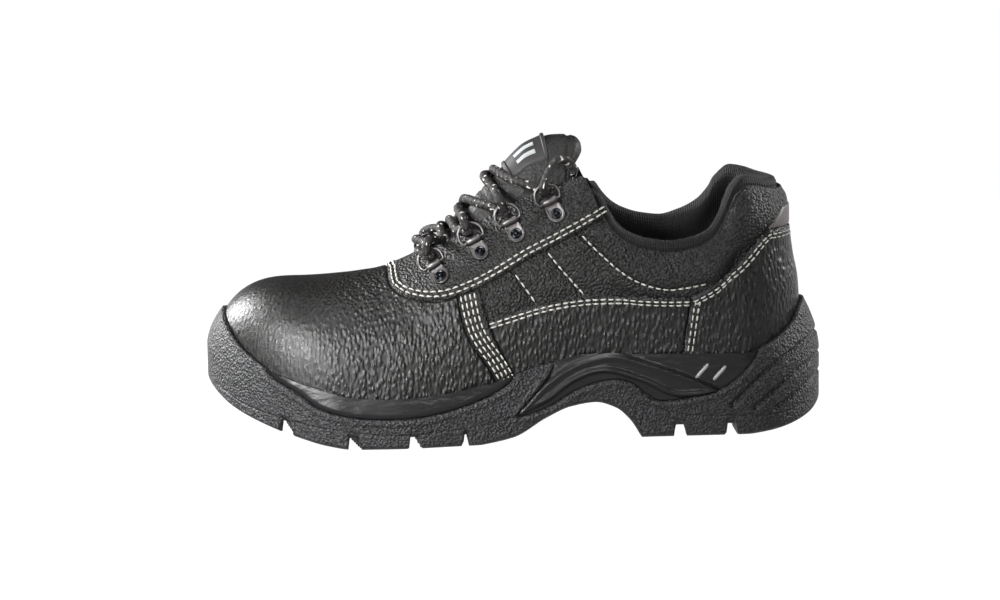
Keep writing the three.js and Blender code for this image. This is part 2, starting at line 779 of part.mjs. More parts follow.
// A prism across the shoe from a side-view outline of [x, z] points.
function prism(outline, from, to) {
  const shape = new THREE.Shape(outline.map(([x, z]) => new THREE.Vector2(x, z)));
  const geometry = new THREE.ExtrudeGeometry(shape, { depth: to - from, bevelEnabled: false });
  return solidOf(geometry.rotateX(Math.PI / 2).translate(0, to, 0));
}

// Side-view points on the sole and on the upper, from their shares.
const onSole = ({ along, up }) => [soleX(along), up * wallTop];
const onUpper = ({ along, up }) => [lastX(along), up * upperHeight];

// A smooth line through side-view points.
function smooth(points, steps = 3) {
  const curve = new THREE.SplineCurve(points.map(([x, z]) => new THREE.Vector2(x, z)));
  return curve.getPoints((points.length - 1) * steps).map((p) => [p.x, p.y]);
}

// A side-view outline with every edge moved outwards by a distance.
function grown(outline, distance) {
  const corners = outline.map(([x, z]) => new THREE.Vector2(x, z));
  const turn = THREE.ShapeUtils.area(corners) > 0 ? 1 : -1;
  const count = corners.length;
  const outwards = corners.map((corner, i) => {
    const run = corners[(i + 1) % count].clone().sub(corner).normalize();
    return new THREE.Vector2(run.y * turn, -run.x * turn);
  });
  return corners.map((corner, i) => {
    const before = outwards[(i + count - 1) % count];
    const both = before.clone().add(outwards[i]);
    const share = distance / Math.max(1 + before.dot(outwards[i]), 0.3);
    return corner.clone().addScaledVector(both, share).toArray();
  });
}

// Prisms wide enough to cross the whole shoe
const wide = soleWidth;
const acrossBoth = (outline) => prism(outline, -wide, wide);

// A box as a solid, centred on a point and turned about the vertical.
function block(width, depth, height, x, y, z, turn = 0) {
  const geometry = new THREE.BoxGeometry(width, depth, height).rotateZ(turn);
  return solidOf(geometry.translate(x, y, z));
}

const group = new THREE.Group();
const finish = (color, roughness, metalness = 0) =>
  new THREE.MeshStandardMaterial({ color, roughness, metalness });
const finishes = {
  outsole: finish(0x232324, 0.75),
  midsole: finish(0x1d1d1f, 0.5),
  leather: finish(0x1a1a1b, 0.4),
  lining: finish(0x17171a, 0.9),
  badge: finish(0x3a3536, 0.5),
  reflective: finish(0x8b8886, 0.6),
  insole: finish(0x222224, 0.9),
  gunmetal: finish(0x55565a, 0.35, 0.9),
  lace: finish(0x2b2625, 0.85),
};

// The largest body of a solid, without the slivers that its cuts leave.
function largest(solid) {
  return solid.decompose().reduce((best, body) => (body.volume() > best.volume() ? body : best));
}

// Adds a solid to the group as a named mesh.
function piece(name, solid, material) {
  const mesh = new THREE.Mesh(geometryOf(solid.simplify(meshTolerance)), material);
  mesh.name = name;
  group.add(mesh);
  return mesh;
}

// A groove across half the tread with the deeper notch that it cuts in the sole's edge.
function treadGroove(share, side, turn) {
  const half = soleHalf[side](share) * halfSole;
  const reach = half + grooveWidth;
  const across = new THREE.BoxGeometry(grooveWidth, reach, 2 * treadDepth);
  const room = floorAt(share) * wallTop - underAt(share) * wallTop - notchRoof;
  const notch = new THREE.BoxGeometry(grooveWidth, notchReach, 2 * Math.min(notchHeight, room));
  const both = solidOf(across.translate(0, (-side * half) / 2, 0)).add(solidOf(notch));
  const turned = both.rotate([0, 0, (-side * turn * 180) / Math.PI]);
  return turned.translate([soleX(share), side * half, underAt(share) * wallTop]);
}

// The sole: a grained outsole with toe bumper, heel spur and lugs, round a smooth midsole.
function makeSole() {
  const cupOffset = gap + panel + gap;
  const cup = lastForm(cupOffset);
  const high = wallTop * 2;
  const floor = smooth(floorLine.map(onSole));
  const [first, end] = [floor[0], floor[floor.length - 1]];
  const aboveFloor = (drop) =>
    acrossBoth([...floor.map(([x, z]) => [x, z - drop]), [end[0], high], [first[0], high]]);
  const lip = [...smooth(forefootLip.slice(0, -2).map(onSole)), ...forefootLip.slice(-2).map(onSole)];
  const lowerWaist = smooth(waistPanel.slice(1, 4).map(onSole));
  const underWaist = smooth(waistPanel.slice(3, -1).map(onSole)).slice(1);
  const waist = [onSole(waistPanel[0]), ...lowerWaist, ...underWaist, onSole(waistPanel.at(-1))];

  const showing = (reach, grow, rise) =>
    soleForm(reach, rise).intersect(acrossBoth(grown(lip, grow)).add(acrossBoth(grown(waist, grow))));
  const inner = (skinDepth, drop) => soleForm(-skinDepth).intersect(aboveFloor(drop));

  const waveOutline = [
    ...smooth(wave.slice(0, 7).map(onSole)),
    ...smooth(wave.slice(6).map(onSole)).slice(1),
  ];
  const arch = smooth(archLine.map(onSole));
  const raisedWave = soleForm(waveProud).intersect(acrossBoth(waveOutline)).intersect(acrossBoth(waist));
  let midsole = inner(outsoleSkin, 0).add(showing(0, 0, 0)).add(raisedWave);
  const bars = slashes.map((spot) => {
    const [x, z] = onSole(spot);
    const bar = new THREE.BoxGeometry(slashLength, 2 * wide, slashWidth).rotateY(-slashAngle);
    return solidOf(bar.translate(x, 0, z));
  });
  for (const bar of bars) midsole = midsole.add(soleForm(slashProud).intersect(bar));
  midsole = midsole.subtract(cup);

  let outsole = soleForm(outsoleProud)
    .subtract(inner(outsoleSkin - gap, gap))
    .subtract(showing(outsoleProud + 2 * waveProud, gap, lipThickness))
    .subtract(cup)
    .subtract(acrossBoth(arch));

  const grooveBand = heelGrooves.map((row) => {
    const line = smooth(row.map(onSole), 2);
    const half = ribGrooveWidth / 2;
    const upper = line.map(([x, z]) => [x - half * 0.6, z + half * 0.8]);
    const lower = line.map(([x, z]) => [x + half * 0.6, z - half * 0.8]).reverse();
    return acrossBoth([...upper, ...lower]);
  });
  const outside = soleForm(outsoleProud + 1).subtract(soleForm(outsoleProud - ribGrooveDepth));
  for (const band of grooveBand) outsole = outsole.subtract(band.intersect(outside));

  for (const { along, turn } of treadGrooves)
    for (const side of SIDES) outsole = outsole.subtract(treadGroove(along, side, turn));
  for (const { from, to, across } of treadChannels) {
    const length = (to - from) * soleLength;
    const middle = soleX((from + to) / 2);
    outsole = outsole.subtract(
      block(length, channelWidth, 2 * treadDepth, middle, across * halfSole, 0),
    );
  }
  piece("outsole", largest(outsole.simplify(meshTolerance)), finishes.outsole);
  piece("midsole", largest(midsole.simplify(meshTolerance)), finishes.midsole);
}

// The footbed inside the upper, resting on the midsole.
function makeInsole() {
  const skin = new Skin();
  const inset = wall + 2 * gap;
  const edge = (share, side, lift) => {
    const p = surface(share, side, 0.001, -inset);
    return new THREE.Vector3(p.x, p.y, bottomOf(share) + lift);
  };
  const last = upperStations.length - 1;
  const shares = upperStations.filter((_, i) => i % 2 === 0 || i === last);
  const rows = shares.map((share) => [
    edge(share, LATERAL, gap),
    edge(share, LATERAL, gap + insoleThickness),
    edge(share, MEDIAL, gap + insoleThickness),
    edge(share, MEDIAL, gap),
    edge(share, LATERAL, gap),
  ]);
  skin.sheet(rows, false);
  piece("insole", skin.solid(), finishes.insole);
}

// The upper's base shell and the leather panels stitched over it.
function makeUpper() {
  piece("upper", wallBetween(-wall, 0), finishes.leather);

  const high = upperHeight * 1.5;
  const low = -seatHeight;
  const facingEdge = smooth(facingSeam.map(onUpper));
  const frontX = facingEdge[0][0];
  const backCornerX = facingEdge.at(-1)[0];
  const aboveFacing = [...facingEdge, [backCornerX, high], [frontX, high]];
  const strapA = smooth(strapFront.map(onUpper));
  const strapB = smooth(strapBack.map(onUpper));
  const strapOutline = [...strapA, ...strapB.slice().reverse()];
  const counterEdge = smooth(counterLine.map(onUpper));
  const counterOutline = [...counterEdge, [counterEdge.at(-1)[0], low], [counterEdge[0][0], low]];
  const panelTop = smooth(sidePanelTop.map(onUpper));
  const vampBack = [[strapB.at(-1)[0] + 3, low], ...strapB.slice().reverse(), [strapB[0][0], high]];
  const vampOutline = [[lastX(1.05), low], ...vampBack, [lastX(1.05), high]];
  const panelOutline = [[strapB.at(-1)[0], low], ...panelTop, [counterEdge[0][0], low]];

  const facingSolid = acrossBoth(aboveFacing);
  const facingGrown = acrossBoth(grown(aboveFacing, seamGap));
  const counterGrown = acrossBoth(grown(counterOutline, seamGap));
  const vampSolid = acrossBoth(vampOutline);
  const strapSolid = acrossBoth(strapOutline);
  const strapGrown = acrossBoth(grown(strapOutline, seamGap));

  const skinOver = (thickness) => wallBetween(gap, gap + thickness);
  const overPanel = skinOver(panel);
  const halfPrism = (side) => block(2 * soleLength, wide, 4 * upperHeight, 0, (side * wide) / 2, 0);
  const vamp = overPanel.intersect(vampSolid).subtract(facingGrown).subtract(strapGrown);
  piece("vamp", vamp, finishes.leather);
  piece("facing", skinOver(facingPanel).intersect(facingSolid), finishes.leather);
  piece("counter", overPanel.intersect(acrossBoth(counterOutline)), finishes.leather);
  const strapSkin = skinOver(strapPanel).intersect(strapSolid).subtract(facingGrown);
  const panelSkin = overPanel
    .intersect(acrossBoth(panelOutline))
    .subtract(counterGrown)
    .subtract(acrossBoth(grown(vampOutline, seamGap)))
    .subtract(strapGrown);
  for (const side of SIDES) {
    piece("vamp_strap_" + sideName(side), strapSkin.intersect(halfPrism(side)), finishes.leather);
    piece("side_panel_" + sideName(side), panelSkin.intersect(halfPrism(side)), finishes.leather);
  }
  const tab = skinOver(tabPanel).intersect(acrossBoth(heelTabLine.map(onUpper)));
  piece("heel_tab", tab.subtract(acrossBoth(grown(counterOutline, seamGap))), finishes.reflective);
}

// The padded collar: a rolled pad on the inside of the top line, from facing corner to facing corner. Its
// outer face follows the rows of the upper's wall. rise is a height over the leather's edge as a share of
// the roll's height, down is a share of the collar's depth, and deep is a share of the padding.
const collarRows = 3;
const collarRoll = [
  { rise: 0.25, deep: -0.02 },
  { rise: 0.75, deep: 0.0 },
  { rise: 1.0, deep: 0.2 },
  { rise: 1.0, deep: 0.45 },
  { rise: 0.5, deep: 0.8 },
];
const collarFace = [
  { down: 0.1, deep: 1.0 },
  { down: 0.4, deep: 0.92 },
  { down: 0.72, deep: 0.5 },
  { down: 1.0, deep: 0.16 },
];
const collarTaper = 0.09;
function makeCollar() {
  const skin = new Skin();
  const shares = upperStations.filter((a) => a < throatCorner);
  const last = shares.at(-1);
  const lateral = shares.slice().reverse().map((a) => ({ a, side: LATERAL }));
  const medial = shares.slice(1).map((a) => ({ a, side: MEDIAL }));
  const ring = ({ a, side }) => {
    const padding = collarPadding * mix(0.3, 1, clamp((last - a) / collarTaper, 0, 1));
    const here = section(a, side);
    const outer = Array.from({ length: collarRows + 1 }, (_, j) =>
      surface(a, side, 1 - (collarRows - j) / rowsUp, -wall - liningGap),
    );
    const roll = collarRoll.map(({ rise, deep }) => {
      const p = surface(a, side, 1, -wall - deep * padding);
      p.z += rise * collarRise;
      return p;
    });
    const face = collarFace.map(({ down, deep }) =>
      surface(a, side, 1 - (down * collarDepth) / here.length, -wall - gap - deep * padding),
    );
    return [...outer, ...roll, ...face, outer[0]];
  };
  const rings = [...lateral, ...medial].map(ring);
  skin.sheet(rings, false);
  for (const [row, flip] of [[rings[0], true], [rings.at(-1), false]]) {
    const middle = row.slice(1).reduce((sum, p) => sum.add(p), new THREE.Vector3());
    middle.divideScalar(row.length - 1);
    for (let j = 0; j + 1 < row.length; j++)
      if (flip) skin.triangle(middle, row[j], row[j + 1]);
      else skin.triangle(middle, row[j + 1], row[j]);
  }
  piece("collar_lining", skin.solid(), finishes.lining);
}

// The tongue: an arched pad that comes up out of the throat.
const tongueTable = tongueLine.map((row) => ({ ...row, at: -row.along }));
const tongueUp = column(tongueTable, "up");
const tongueHalf = column(tongueTable, "half");
const tongueDrop = column(tongueTable, "drop");
const tongueAcross = 8;

// A point on the tongue at a share of the upper's length, an arch angle from -1 to 1 and a depth below it.
function tonguePoint(along, arch, depth) {
  const reach = 0.004;
  const ridge = (share) => new THREE.Vector2(lastX(share), tongueUp(-share) * upperHeight);
  const run = ridge(along - reach).sub(ridge(along + reach)).normalize();
  const angle = (arch * Math.PI) / 2;
  const half = tongueHalf(-along) * halfThroat - depth * 0.75;
  const drop = tongueDrop(-along) * upperHeight;
  const top = ridge(along);
  const sunk = drop * (1 - Math.cos(angle)) + depth * Math.cos(angle);
  return new THREE.Vector3(top.x + run.y * sunk * 0.55, half * Math.sin(angle), top.y - run.x * sunk);
}
function makeTongue() {
  const skin = new Skin();
  const rows = tongueLine.map(({ along }, i) => {
    const end = i === 0 || i === tongueLine.length - 1;
    const arches = Array.from({ length: tongueAcross + 1 }, (_, j) => (2 * j) / tongueAcross - 1);
    const depth = (arch) => tongueThickness * (end ? 0.35 : 1) * (1 - 0.45 * arch ** 4);
    const top = arches.map((arch) => tonguePoint(along, arch, 0));
    const under = arches.map((arch) => tonguePoint(along, arch, depth(arch))).reverse();
    return [...top, ...under, top[0]];
  });
  skin.sheet(rows, false);
  for (const [row, flip] of [[rows[0], false], [rows.at(-1), true]]) {
    const open = row.slice(0, -1);
    for (let j = 0; j < tongueAcross; j++)
      skin.quad(open[j], open[j + 1], open[open.length - 2 - j], open[open.length - 1 - j], flip);
  }
  const clearance = wallBetween(-wall - 2 * gap, gap + facingPanel + gap);
  piece("tongue", skin.solid().subtract(clearance), finishes.leather);
}

// The rubber badge on the tongue, bare.
function makeBadge() {
  const skin = new Skin();
  const steps = 6;
  const rows = Array.from({ length: steps + 1 }, (_, i) => {
    const along = mix(badgeFrom, badgeTo, i / steps);
    const arches = Array.from({ length: steps + 1 }, (_, j) => badgeSpread * ((2 * j) / steps - 1));
    const top = arches.map((arch) => tonguePoint(along, arch, -badgeSeat - badgeThickness));
    const under = arches.map((arch) => tonguePoint(along, arch, -badgeSeat)).reverse();
    return [...top, ...under, top[0]];
  });
  skin.sheet(rows, false);
  for (const [row, flip] of [[rows[0], false], [rows.at(-1), true]]) {
    const open = row.slice(0, -1);
    for (let j = 0; j < steps; j++)
      skin.quad(open[j], open[j + 1], open[open.length - 2 - j], open[open.length - 1 - j], flip);
  }
  piece("tongue_badge", skin.solid(), finishes.badge);
}

// Where an eyelet sits: its rivet on the facing, out along the normal, and up towards the throat's edge.
function eyeletFrame(index, side) {
  const { along, up } = rivetLine[index];
  const height = up * upperHeight;
  const here = section(along, side);
  let share = 0;
  while (share < 1 && onSection(here, share).z < height) share += 0.002;
  const outward = normalAt(along, side, share);
  const next = Math.min(index + 1, eyeletCount - 1);
  const before = Math.max(index - 1, 0);
  const line = (i) => {
    const row = rivetLine[i];
    const z = row.up * upperHeight;
    return new THREE.Vector3(lastX(row.along), side * halfBreadth(row.along, side, z), z);
  };
  const edge = line(next).sub(line(before)).normalize();
  const upward = edge.clone().cross(outward).multiplyScalar(side).normalize();
  if (upward.z < 0) upward.negate();
  const sideways = upward.clone().cross(outward).normalize();
  const seat = surface(along, side, share, gap + facingPanel + gap);
  return { seat, outward, upward, sideways };
}

// A round wire along a closed flat loop of points in the XY plane.
function loopWire(points, radius, sides) {
  const skin = new Skin();
  const count = points.length;
  const rings = points.map((p, i) => {
    const run = points[(i + 1) % count].clone().sub(points[(i + count - 1) % count]).normalize();
    const outwards = new THREE.Vector3(run.y, -run.x, 0);
    return Array.from({ length: sides + 1 }, (_, j) => {
      const angle = (2 * Math.PI * (j % sides)) / sides;
      return p
        .clone()
        .addScaledVector(outwards, radius * Math.cos(angle))
        .add(new THREE.Vector3(0, 0, radius * Math.sin(angle)));
    });
  });
  skin.sheet([...rings, rings[0]], false);
  return skin.solid();
}

// One eyelet plate with the rolled hinge along its top, in its own frame: X sideways, Y up, Z outward.
function plateSolid() {
  const half = plateWidth / 2;
  const bottom = -plateLength / 2 + 0.6;
  const top = plateLength / 2 - 0.6;
  const shape = new THREE.Shape();
  shape.moveTo(half * 0.86, top);
  shape.lineTo(half, 0);
  shape.absarc(0, bottom + half - 0.6, half * 0.96, 0, -Math.PI, true);
  shape.lineTo(-half * 0.86, top);
  const options = { depth: plateThickness, bevelEnabled: false, curveSegments: 6 };
  const plate = solidOf(new THREE.ExtrudeGeometry(shape, options));
  const hole = ringWire / 2 + ringClearance;
  const profile = [
    [hole, -half * 0.86],
    [hingeRadius, -half * 0.86],
    [hingeRadius, half * 0.86],
    [hole, half * 0.86],
    [hole, -half * 0.86],
  ].map(([r, y]) => new THREE.Vector2(r, y));
  const roll = new THREE.LatheGeometry(profile, 8).rotateZ(Math.PI / 2);
  const hinge = solidOf(roll.translate(0, top + hingeRadius - 0.5, hingeRadius));
  return plate.add(hinge);
}
const hingeY = plateLength / 2 - 0.6 + hingeRadius - 0.5;

// A rivet's head over the plate.
function rivetSolid() {
  const profile = [
    [0, 0],
    [rivetRadius, 0],
    [rivetRadius, rivetHeight * 0.4],
    [rivetRadius * 0.5, rivetHeight],
    [0, rivetHeight],
  ].map(([r, y]) => new THREE.Vector2(r, y));
  return solidOf(new THREE.LatheGeometry(profile, 8).rotateX(Math.PI / 2));
}

// The ring: a straight bar through the hinge and a round bow beyond it.
function ringPoints() {
  const half = ringWidth / 2;
  const bow = Array.from({ length: 9 }, (_, i) => {
    const angle = -0.5 + (i * (Math.PI + 1)) / 8;
    return new THREE.Vector3(half * Math.cos(angle), half * Math.sin(angle), 0);
  });
  const drop = bow[0].y;
  return bow.map((p) => new THREE.Vector3(p.x, p.y - drop, 0));
}
const ringTilt = 0.3;

function makeEyelets() {
  const plate = plateSolid();
  const rivet = rivetSolid();
  const ring = loopWire(ringPoints(), ringWire / 2, 5);
  for (const side of SIDES)
    for (let i = 0; i < eyeletCount; i++) {
      const { seat, outward, upward, sideways } = eyeletFrame(i, side);
      const basis = new THREE.Matrix4().makeBasis(sideways, upward, outward);
      const turn = new THREE.Quaternion().setFromRotationMatrix(basis);
      const tag = sideName(side) + "_" + (i + 1);
      const put = (name, solid, offset, lean = 0) => {
        const mesh = piece(name + "_" + tag, solid, finishes.gunmetal);
        const tilt = new THREE.Quaternion().setFromAxisAngle(new THREE.Vector3(1, 0, 0), lean);
        mesh.quaternion.copy(turn).multiply(tilt);
        mesh.position.copy(offset.clone().applyQuaternion(turn).add(seat));
      };
      put("eyelet_plate", plate, new THREE.Vector3(0, 0, 0));
      put("eyelet_rivet", rivet, new THREE.Vector3(0, -0.6, plateThickness + gap));
      put("eyelet_ring", ring, new THREE.Vector3(0, hingeY, hingeRadius), ringTilt);
    }
}

// The middle of an eyelet ring's opening.
function ringCentre(index, side) {
  const { seat, outward, upward } = eyeletFrame(index, side);
  const reach = ringReach * 0.5;
  return seat
    .clone()
    .addScaledVector(upward, hingeY + reach * Math.cos(ringTilt))
    .addScaledVector(outward, hingeRadius + reach * Math.sin(ringTilt));
}

// A round cord through points, as a closed solid.
function cordSolid(points, steps) {
  const curve = new THREE.CatmullRomCurve3(points, false, "centripetal");
  const section = new THREE.Shape();
  const radius = laceDiameter / 2;
  for (let j = 0; j < laceSides; j++) {
    const angle = (2 * Math.PI * j) / laceSides;
    const [x, y] = [radius * Math.cos(angle), radius * Math.sin(angle)];
    if (j === 0) section.moveTo(x, y);
    else section.lineTo(x, y);
  }
  const options = { steps, bevelEnabled: false, extrudePath: curve };
  return solidOf(new THREE.ExtrudeGeometry(section, options));
}

// Where each strand of the lace crosses the tongue's ridge, as shares of the upper's length. A strand
// leaves one ring over its bow and stops short of the other; lift is its extra height over the tongue.
const crossings = [
  { lateral: 0.606, medial: 0.592, lift: 1.5 },
  { lateral: 0.574, medial: 0.56, lift: 1.8 },
  { lateral: 0.531, medial: 0.5165, lift: 0.6 },
];
const barCrest = { at: 0.632, lift: 2.4 };
const barForward = 5;
// The lace's free end, from the outer top ring: along and up are shares of the upper's length and height,
// and across is a share of half the throat's width.
const laceEndLine = [
  { along: 0.4306, up: 1.074, across: 1.3 },
  { along: 0.4149, up: 1.115, across: 1.16 },
  { along: 0.3976, up: 1.102, across: 1.04 },
  { along: 0.3872, up: 1.06, across: 0.98 },
];
const laceShort = 10;
const laceOver = 1.2;
const shoulderLift = 2.1;
const shoulderBlend = 0.85;
const laceShoulder = 0.5;

// A point of a strand over the shoulder of the tongue, between a ring and the strand's crest.
function overTongue(ring, crest, arch, lift) {
  const from = (backX - ring.x) / upperLength;
  const depth = -(laceDiameter / 2 + laceOver + shoulderLift + lift);
  return tonguePoint(mix(from, crest, shoulderBlend), arch, depth);
}

// The end of a strand that comes up out of a ring and bends over its bow.
function leaving(index, side, towards) {
  const ring = ringCentre(index, side);
  const { outward } = eyeletFrame(index, side);
  const run = towards.clone().sub(ring).normalize();
  const place = (along, out) => ring.clone().addScaledVector(run, along).addScaledVector(outward, out);
  const overBow = place(ringWidth * 0.56, laceDiameter / 2 + ringReach * 0.66);
  return [place(0, strandStart), place(strandBend, strandBendHeight), overBow];
}

// The end of a strand that stops short of a ring.
function arriving(index, side, towards) {
  const ring = ringCentre(index, side);
  return [ring.clone().add(towards.clone().sub(ring).setLength(laceShort))];
}

function crossingStrand(index, side, crest, lift) {
  const start = ringCentre(index, side);
  const stop = ringCentre(index + 1, -side);
  const near = overTongue(start, crest, side * laceShoulder, lift);
  const far = overTongue(stop, crest, -side * laceShoulder, lift);
  const top = tonguePoint(crest, 0, -(laceDiameter / 2 + laceOver + lift));
  const points = [...leaving(index, side, near), near, top, far];
  return cordSolid([...points, ...arriving(index + 1, -side, far)], 16);
}

function makeLaces() {
  const { at, lift } = barCrest;
  const top = tonguePoint(at, 0, -(laceDiameter / 2 + laceOver + lift));
  const half = SIDES.map((side) => {
    const ring = ringCentre(0, side);
    const end = new THREE.Vector3(ring.x - barForward, ring.y * 0.75, ring.z + 1);
    return [end, new THREE.Vector3(top.x, top.y + side * halfThroat * laceShoulder * 0.8, top.z - 0.8)];
  });
  piece("lace_bar", cordSolid([...half[0], top, ...half[1].reverse()], 10), finishes.lace);
  crossings.forEach((row, i) => {
    const one = crossingStrand(i, LATERAL, row.lateral, row.lift);
    const other = crossingStrand(i, MEDIAL, row.medial, row.lift);
    piece("lace_crossing_" + (i + 1), one.add(other), finishes.lace);
  });
  const ring = ringCentre(eyeletCount - 1, LATERAL);
  const { outward } = eyeletFrame(eyeletCount - 1, LATERAL);
  const rise = [strandStart, endRise].map((out, i) => {
    const p = ring.clone().addScaledVector(outward, out);
    p.z += i * laceDiameter * 0.5;
    return p;
  });
  const free = laceEndLine.map(({ along, up, across }) =>
    new THREE.Vector3(lastX(along), LATERAL * across * halfThroat, up * upperHeight),
  );
  piece("lace_end", cordSolid([...rise, ...free], 12), finishes.lace);
}

makeSole();
makeInsole();
makeUpper();
makeCollar();
makeTongue();
makeBadge();
makeEyelets();
makeLaces();

export default group;
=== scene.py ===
"""A left safety sneaker: its leather, rubber, laces and metal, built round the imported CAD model.

Metres in Blender, millimetres in the tables. The toe points to -X and the outer side to -Y.
"""

import functools
import math

import bpy
import numpy as np
from mathutils import Matrix


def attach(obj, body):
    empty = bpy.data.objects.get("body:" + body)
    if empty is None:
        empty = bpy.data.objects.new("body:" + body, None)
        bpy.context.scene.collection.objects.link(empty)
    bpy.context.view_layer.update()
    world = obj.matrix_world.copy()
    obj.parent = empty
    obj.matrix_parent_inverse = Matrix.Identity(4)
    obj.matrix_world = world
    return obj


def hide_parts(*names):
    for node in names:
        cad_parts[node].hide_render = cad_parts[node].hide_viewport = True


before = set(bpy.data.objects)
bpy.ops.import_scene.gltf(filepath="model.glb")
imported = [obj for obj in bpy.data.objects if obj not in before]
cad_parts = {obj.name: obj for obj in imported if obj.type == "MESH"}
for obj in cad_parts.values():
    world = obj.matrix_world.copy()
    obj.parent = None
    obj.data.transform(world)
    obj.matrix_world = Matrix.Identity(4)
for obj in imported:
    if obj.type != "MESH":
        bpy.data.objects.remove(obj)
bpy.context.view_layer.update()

bl_info = {
    "name": "Safety sneaker",
    "version": (1, 0, 0),
    "blender": (4, 5, 0),
    "location": "3D View > Sidebar > Sneaker",
    "description": "Builds the surfaces and materials of a low leather safety shoe",
    "category": "Add Mesh",
}

MM = 0.001
ROOT = "root"
LATERAL, MEDIAL = -1, 1
SIDES = (LATERAL, MEDIAL)
SIDE_NAME = {LATERAL: "lateral", MEDIAL: "medial"}

# The driving sizes, as in the CAD model
SOLE_LENGTH, SOLE_WIDTH, WALL_TOP = 302.0, 103.0, 62.0
UPPER_LENGTH, UPPER_WIDTH, UPPER_HEIGHT = 288.0, 95.0, 122.0
UPPER_BACK = SOLE_LENGTH / 2 - 10.0
SEAT_HEIGHT, HEEL_LEAN = 29.0, 10.0
THROAT_WIDTH = 43.0
SHELL = 2.0
LIP = 3.0
COLLAR_PUFF, COLLAR_PUFF_REACH, COLLAR_PUFF_FADE = 3.5, 30.0, 0.06
HALF_UPPER, HALF_SOLE, HALF_THROAT = UPPER_WIDTH / 2, SOLE_WIDTH / 2, THROAT_WIDTH / 2
LACE = 4.4

# Shares of the length: the heel's rounding and the toe's in plan, the toe's dome, the back line's lean
HEEL_ROUND, TOE_ROUND_FROM, TOE_ROUND = 0.115, 0.8, 0.2
TOE_DOME_FROM, TOE_DOME, LEAN_REACH = 0.86, 0.14, 0.3


def table(names, rows):
    """A table of named columns as arrays."""
    columns = np.array(rows, float).T
    return dict(zip(names.split(), columns))


# The last from heel (0) to toe (1): half widths, ridge shift, bottom and ridge heights, and the section's
# two exponents.
LAST = table(
    "at lateral medial spine bottom ridge shoulder side",
    [
        (0.0, 0.66, 0.66, 0, 1.0, 1.56, 3.0, 2.0),
        (0.16, 0.7, 0.7, 0, 1.0, 1.56, 3.0, 2.0),
        (0.28, 0.7, 0.67, 0, 1.01, 1.5, 2.9, 2.0),
        (0.35, 0.72, 0.66, 0, 0.99, 1.26, 2.7, 2.0),
        (0.4, 0.75, 0.67, 0, 0.95, 1.14, 2.6, 2.0),
        (0.45, 0.79, 0.69, 0, 0.87, 1.055, 2.5, 2.0),
        (0.5, 0.84, 0.73, 0, 0.77, 0.965, 2.5, 2.0),
        (0.55, 0.885, 0.785, 0, 0.67, 0.88, 2.45, 2.05),
        (0.6, 0.93, 0.845, 0, 0.59, 0.795, 2.4, 2.1),
        (0.65, 0.97, 0.9, 0, 0.54, 0.71, 2.4, 2.15),
        (0.7, 1.0, 0.95, 0.005, 0.52, 0.66, 2.45, 2.2),
        (0.78, 1.0, 0.985, 0.03, 0.52, 0.625, 2.6, 2.4),
        (0.86, 0.95, 0.96, 0.07, 0.58, 0.612, 2.8, 2.6),
        (0.93, 0.88, 0.9, 0.11, 0.74, 0.612, 2.8, 2.6),
        (1.0, 0.8, 0.83, 0.15, 1.1, 0.612, 2.8, 2.6),
    ],
)
BACK_LINE = table(
    "at lean",
    [(0.24, 0.4), (0.37, 0.1), (0.51, 0.08), (0.59, 0.14), (0.705, 0.4), (0.82, 0.55), (0.9, 0.56),
     (0.96, 0.75), (1.0, 1.0)],
)
THROAT_CORNER, THROAT_FRONT, THROAT_ROUND = 0.3715, 0.649, 0.04
TOP_LINE = table(
    "at lateral medial",
    [
        (0.0, 0.968, 0.968), (0.03, 0.975, 0.975), (0.055, 0.989, 0.989), (0.075, 0.994, 0.994),
        (0.104, 0.967, 0.972), (0.118, 0.926, 0.95), (0.133, 0.857, 0.905), (0.157, 0.785, 0.85),
        (0.19, 0.752, 0.812), (0.229, 0.74, 0.79), (0.264, 0.75, 0.8), (0.299, 0.779, 0.825),
        (0.319, 0.811, 0.852), (0.337, 0.865, 0.893), (0.351, 0.926, 0.94), (0.361, 0.984, 0.985),
        (THROAT_CORNER, 1.035, 1.035),
    ],
)
THROAT_LINE = table(
    "at open", [(THROAT_CORNER, 1.0), (0.45, 0.84), (0.55, 0.71), (THROAT_FRONT, 0.6)]
)
SOLE_OUTLINE = table(
    "at lateral medial spine",
    [
        (0.0, 0.66, 0.66, 0), (0.16, 0.72, 0.72, 0), (0.28, 0.725, 0.72, 0), (0.38, 0.76, 0.72, 0),
        (0.5, 0.85, 0.77, 0), (0.6, 0.935, 0.855, 0), (0.7, 1.0, 0.95, 0.005), (0.78, 1.0, 0.97, 0.025),
        (0.86, 0.95, 0.93, 0.065), (0.93, 0.87, 0.87, 0.1), (1.0, 0.8, 0.8, 0.14),
    ],
)
SOLE_PROFILE = table(
    "at under top",
    [
        (0.0, 0.26, 1.0), (0.013, 0.155, 0.97), (0.033, 0.092, 0.86), (0.068, 0.042, 0.76),
        (0.106, 0.012, 0.68), (0.13, 0.0, 0.655), (0.22, 0.0, 0.66), (0.3, 0.0, 0.67), (0.38, 0.0, 0.685),
        (0.47, 0.0, 0.6), (0.55, 0.0, 0.485), (0.62, 0.0, 0.425), (0.69, 0.0, 0.4), (0.765, 0.0, 0.41),
        (0.808, 0.03, 0.46), (0.858, 0.095, 0.53), (0.904, 0.165, 0.61), (0.954, 0.265, 0.77),
        (0.985, 0.38, 0.93), (1.0, 0.48, 1.0),
    ],
)
WALL_SECTION = table("rise inward", [(0, 0), (0.45, 0), (0.65, 0.18), (0.85, 0.58), (1.0, 1.0)])

